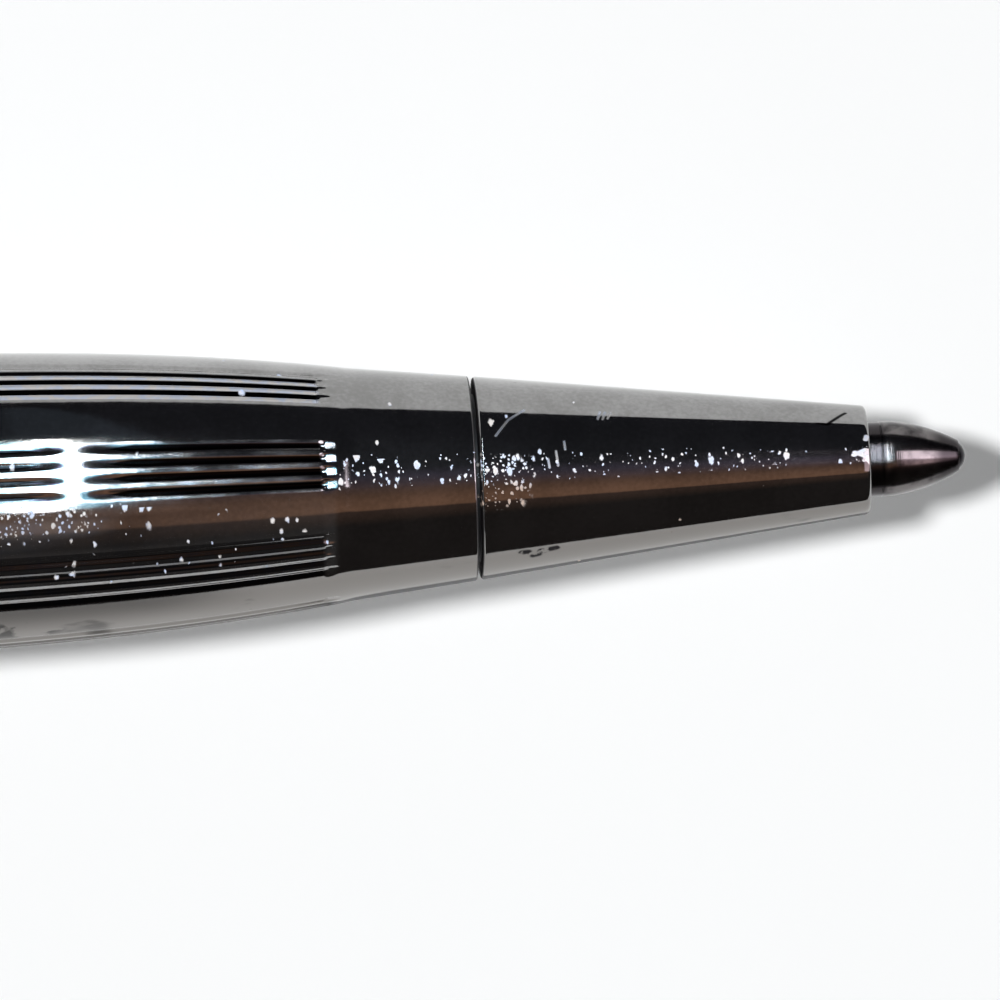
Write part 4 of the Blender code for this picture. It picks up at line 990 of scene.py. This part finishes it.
# Table, lights and camera
# A white table top under soft light from the upper left, in a dim room. A small bright lamp beside the
# camera, a window and a warm strip overhead show in the chrome.
TABLE_HALF = 20.0
TABLE_DULL = (0.92, 0.92, 0.92)
TABLE_WHITE = (0.94, 0.94, 0.94)
DAYLIGHT = (0.985, 0.995, 1.0)
LAMP_DISTANCE = 0.6
LAMP_STATION = 28.0
LAMP_AIM = np.array([point_x - LAMP_STATION * MM, axis_y, axis_z])
ROOM_DARK = (0.024, 0.025, 0.03)
ROOM_VIOLET = (0.075, 0.066, 0.095)
ROOM_WARM = (0.030, 0.026, 0.025)
STRIP_BROWN = (0.33, 0.18, 0.115)
VIOLET_SLOPES = (-0.45, -0.2, -0.1, 0.1)
WARM_SLOPES = (0.3, 0.6)
STRIP_START = (-0.28, 0.33)
STRIP_END = (0.39, 0.35)
STRIP_TAIL = (0.75, 0.37)
CAMERA_DISTANCE = 310.0
FRAME_WIDTH = 31.3
SENSOR_WIDTH = 36.0
TARGET = (53.35, -0.1, 4.75)
LEAN_BACK = 3.0
LEAN_SIDE = 7.75
ROLL = 2.71


def add_table():
    """One large square at height 0."""
    mesh = bpy.data.meshes.new("table")
    corners = [(x * TABLE_HALF, y * TABLE_HALF, 0) for x, y in ((-1, -1), (1, -1), (1, 1), (-1, 1))]
    mesh.from_pydata(corners, [], [(0, 1, 2, 3)])
    floor = bpy.data.objects.new("table", mesh)
    bpy.context.scene.collection.objects.link(floor)
    material, shader, place = new_finish("white_table")
    tone = place.noise(0.05, 2.0).mix(TABLE_DULL, TABLE_WHITE)
    feed(shader, Base_Color=tone, Roughness=0.9, Specular_IOR_Level=0.0)
    mesh.materials.append(material)


def facing(back, spot):
    """A pose whose Z axis is the direction back, and whose X axis lies as near to the pen's as it can."""
    back = np.array(back) / np.linalg.norm(back)
    along = np.array([1.0, 0.0, 0.0]) - back[0] * back
    along /= np.linalg.norm(along)
    pose = np.eye(4)
    pose[:3] = np.column_stack([along, np.cross(back, along), back, spot])
    return pose


def add_light(light, pose):
    """Puts a light into the scene."""
    lamp = bpy.data.objects.new(light.name, light)
    lamp.matrix_world = Matrix(pose.tolist())
    bpy.context.scene.collection.objects.link(lamp)
    return lamp


def add_sun(name, direction, strength, width, shadow=True):
    """A soft light from far away, which metal doesn't mirror."""
    light = bpy.data.lights.new(name, "SUN")
    light.energy = strength
    light.angle = np.radians(width)
    light.color = DAYLIGHT
    light.use_shadow = shadow
    light.cycles.use_multiple_importance_sampling = shadow
    add_light(light, facing(direction, direction)).visible_glossy = False


def add_lamp(name, lean, width, brightness, colour, shape="ELLIPSE"):
    """A lamp that only shows in metal.

    It leans from straight up by two angles, towards +X and +Y, and is so many degrees wide along each. Its
    power is brightness x pi x area.
    """
    light = bpy.data.lights.new(name, "AREA")
    light.shape = shape
    away = np.tan(np.radians(lean))
    back = np.array([*away, 1.0]) / np.linalg.norm([*away, 1.0])
    light.size, light.size_y = 2 * LAMP_DISTANCE * np.tan(np.radians(width) / 2)
    area = light.size * light.size_y * (np.pi / 4 if shape == "ELLIPSE" else 1)
    light.energy = brightness * np.pi * area
    light.color = colour
    lamp = add_light(light, facing(back, LAMP_AIM + back * LAMP_DISTANCE))
    lamp.visible_diffuse = False


def add_room():
    """The world, which only metal shows. Its colour goes by the slope of a direction, -Y over Z."""
    world = bpy.data.worlds.new("room")
    bpy.context.scene.world = world
    world.use_nodes = True
    world.cycles_visibility.diffuse = False
    blank = Shade(world.node_tree)
    _, y, z = blank.node("ShaderNodeTexCoord", output="Generated").parts()
    slope = blank.math("DIVIDE", 0.0 - y, z.most(0.05))
    gloom = slope.within(VIOLET_SLOPES).mix(ROOM_DARK, ROOM_VIOLET)
    gloom = slope.step(*WARM_SLOPES).mix(gloom, ROOM_WARM)
    strip = slope.step(*STRIP_START) * slope.step(*STRIP_END).most(0.2 * slope.step(*STRIP_TAIL))
    colour = strip.mix(gloom, STRIP_BROWN)
    world.node_tree.links.new(colour.socket, world.node_tree.nodes["Background"].inputs["Color"])


def add_camera():
    """A long lens that looks at the pen's front from nearly straight above."""
    lens = bpy.data.cameras.new("camera")
    lens.sensor_width = SENSOR_WIDTH
    lens.lens = SENSOR_WIDTH * CAMERA_DISTANCE / FRAME_WIDTH
    lens.clip_start = 0.01
    camera = bpy.data.objects.new("camera", lens)
    bpy.context.scene.collection.objects.link(camera)
    bpy.context.scene.camera = camera
    back = np.array([-np.tan(np.radians(LEAN_BACK)), np.tan(np.radians(LEAN_SIDE)), 1.0])
    back /= np.linalg.norm(back)
    level = facing(back, np.array(TARGET) * MM + back * CAMERA_DISTANCE * MM)
    camera.matrix_world = Matrix(level.tolist()) @ Matrix.Rotation(np.radians(-ROLL), 4, "Z")


add_table()
add_sun("key", (-0.42, 0.22, 1.0), 2.58, 7.5)
add_sun("fill", (0.0, 0.0, 1.0), 0.95, 90.0, False)
add_lamp("lamp", (6.3, 26.0), (4.4, 56.0), 9.0, (0.42, 0.8, 1.0))
add_lamp("lamp_core", (6.9, 26.0), (1.8, 58.0), 45.0, (1.0, 1.0, 1.0))
add_lamp("lamp_glow", (6.5, 12.0), (7.0, 28.0), 1.5, (0.2, 0.7, 1.0))
add_lamp("lamp_halo", (6.5, 36.0), (7.0, 26.0), 0.9, (0.5, 0.45, 1.0))
add_lamp("lamp_bloom", (8.5, 25.0), (6.0, 120.0), 0.05, (0.6, 0.8, 1.0))
add_lamp("window", (47.0, 17.5), (46.0, 25.0), 3.8, (1.0, 0.88, 0.97), "RECTANGLE")
add_lamp("window_glow", (47.0, -6.0), (46.0, 22.0), 0.9, (1.0, 0.8, 0.92), "RECTANGLE")
add_room()
add_camera()
bpy.context.scene.view_settings.view_transform = "Standard"
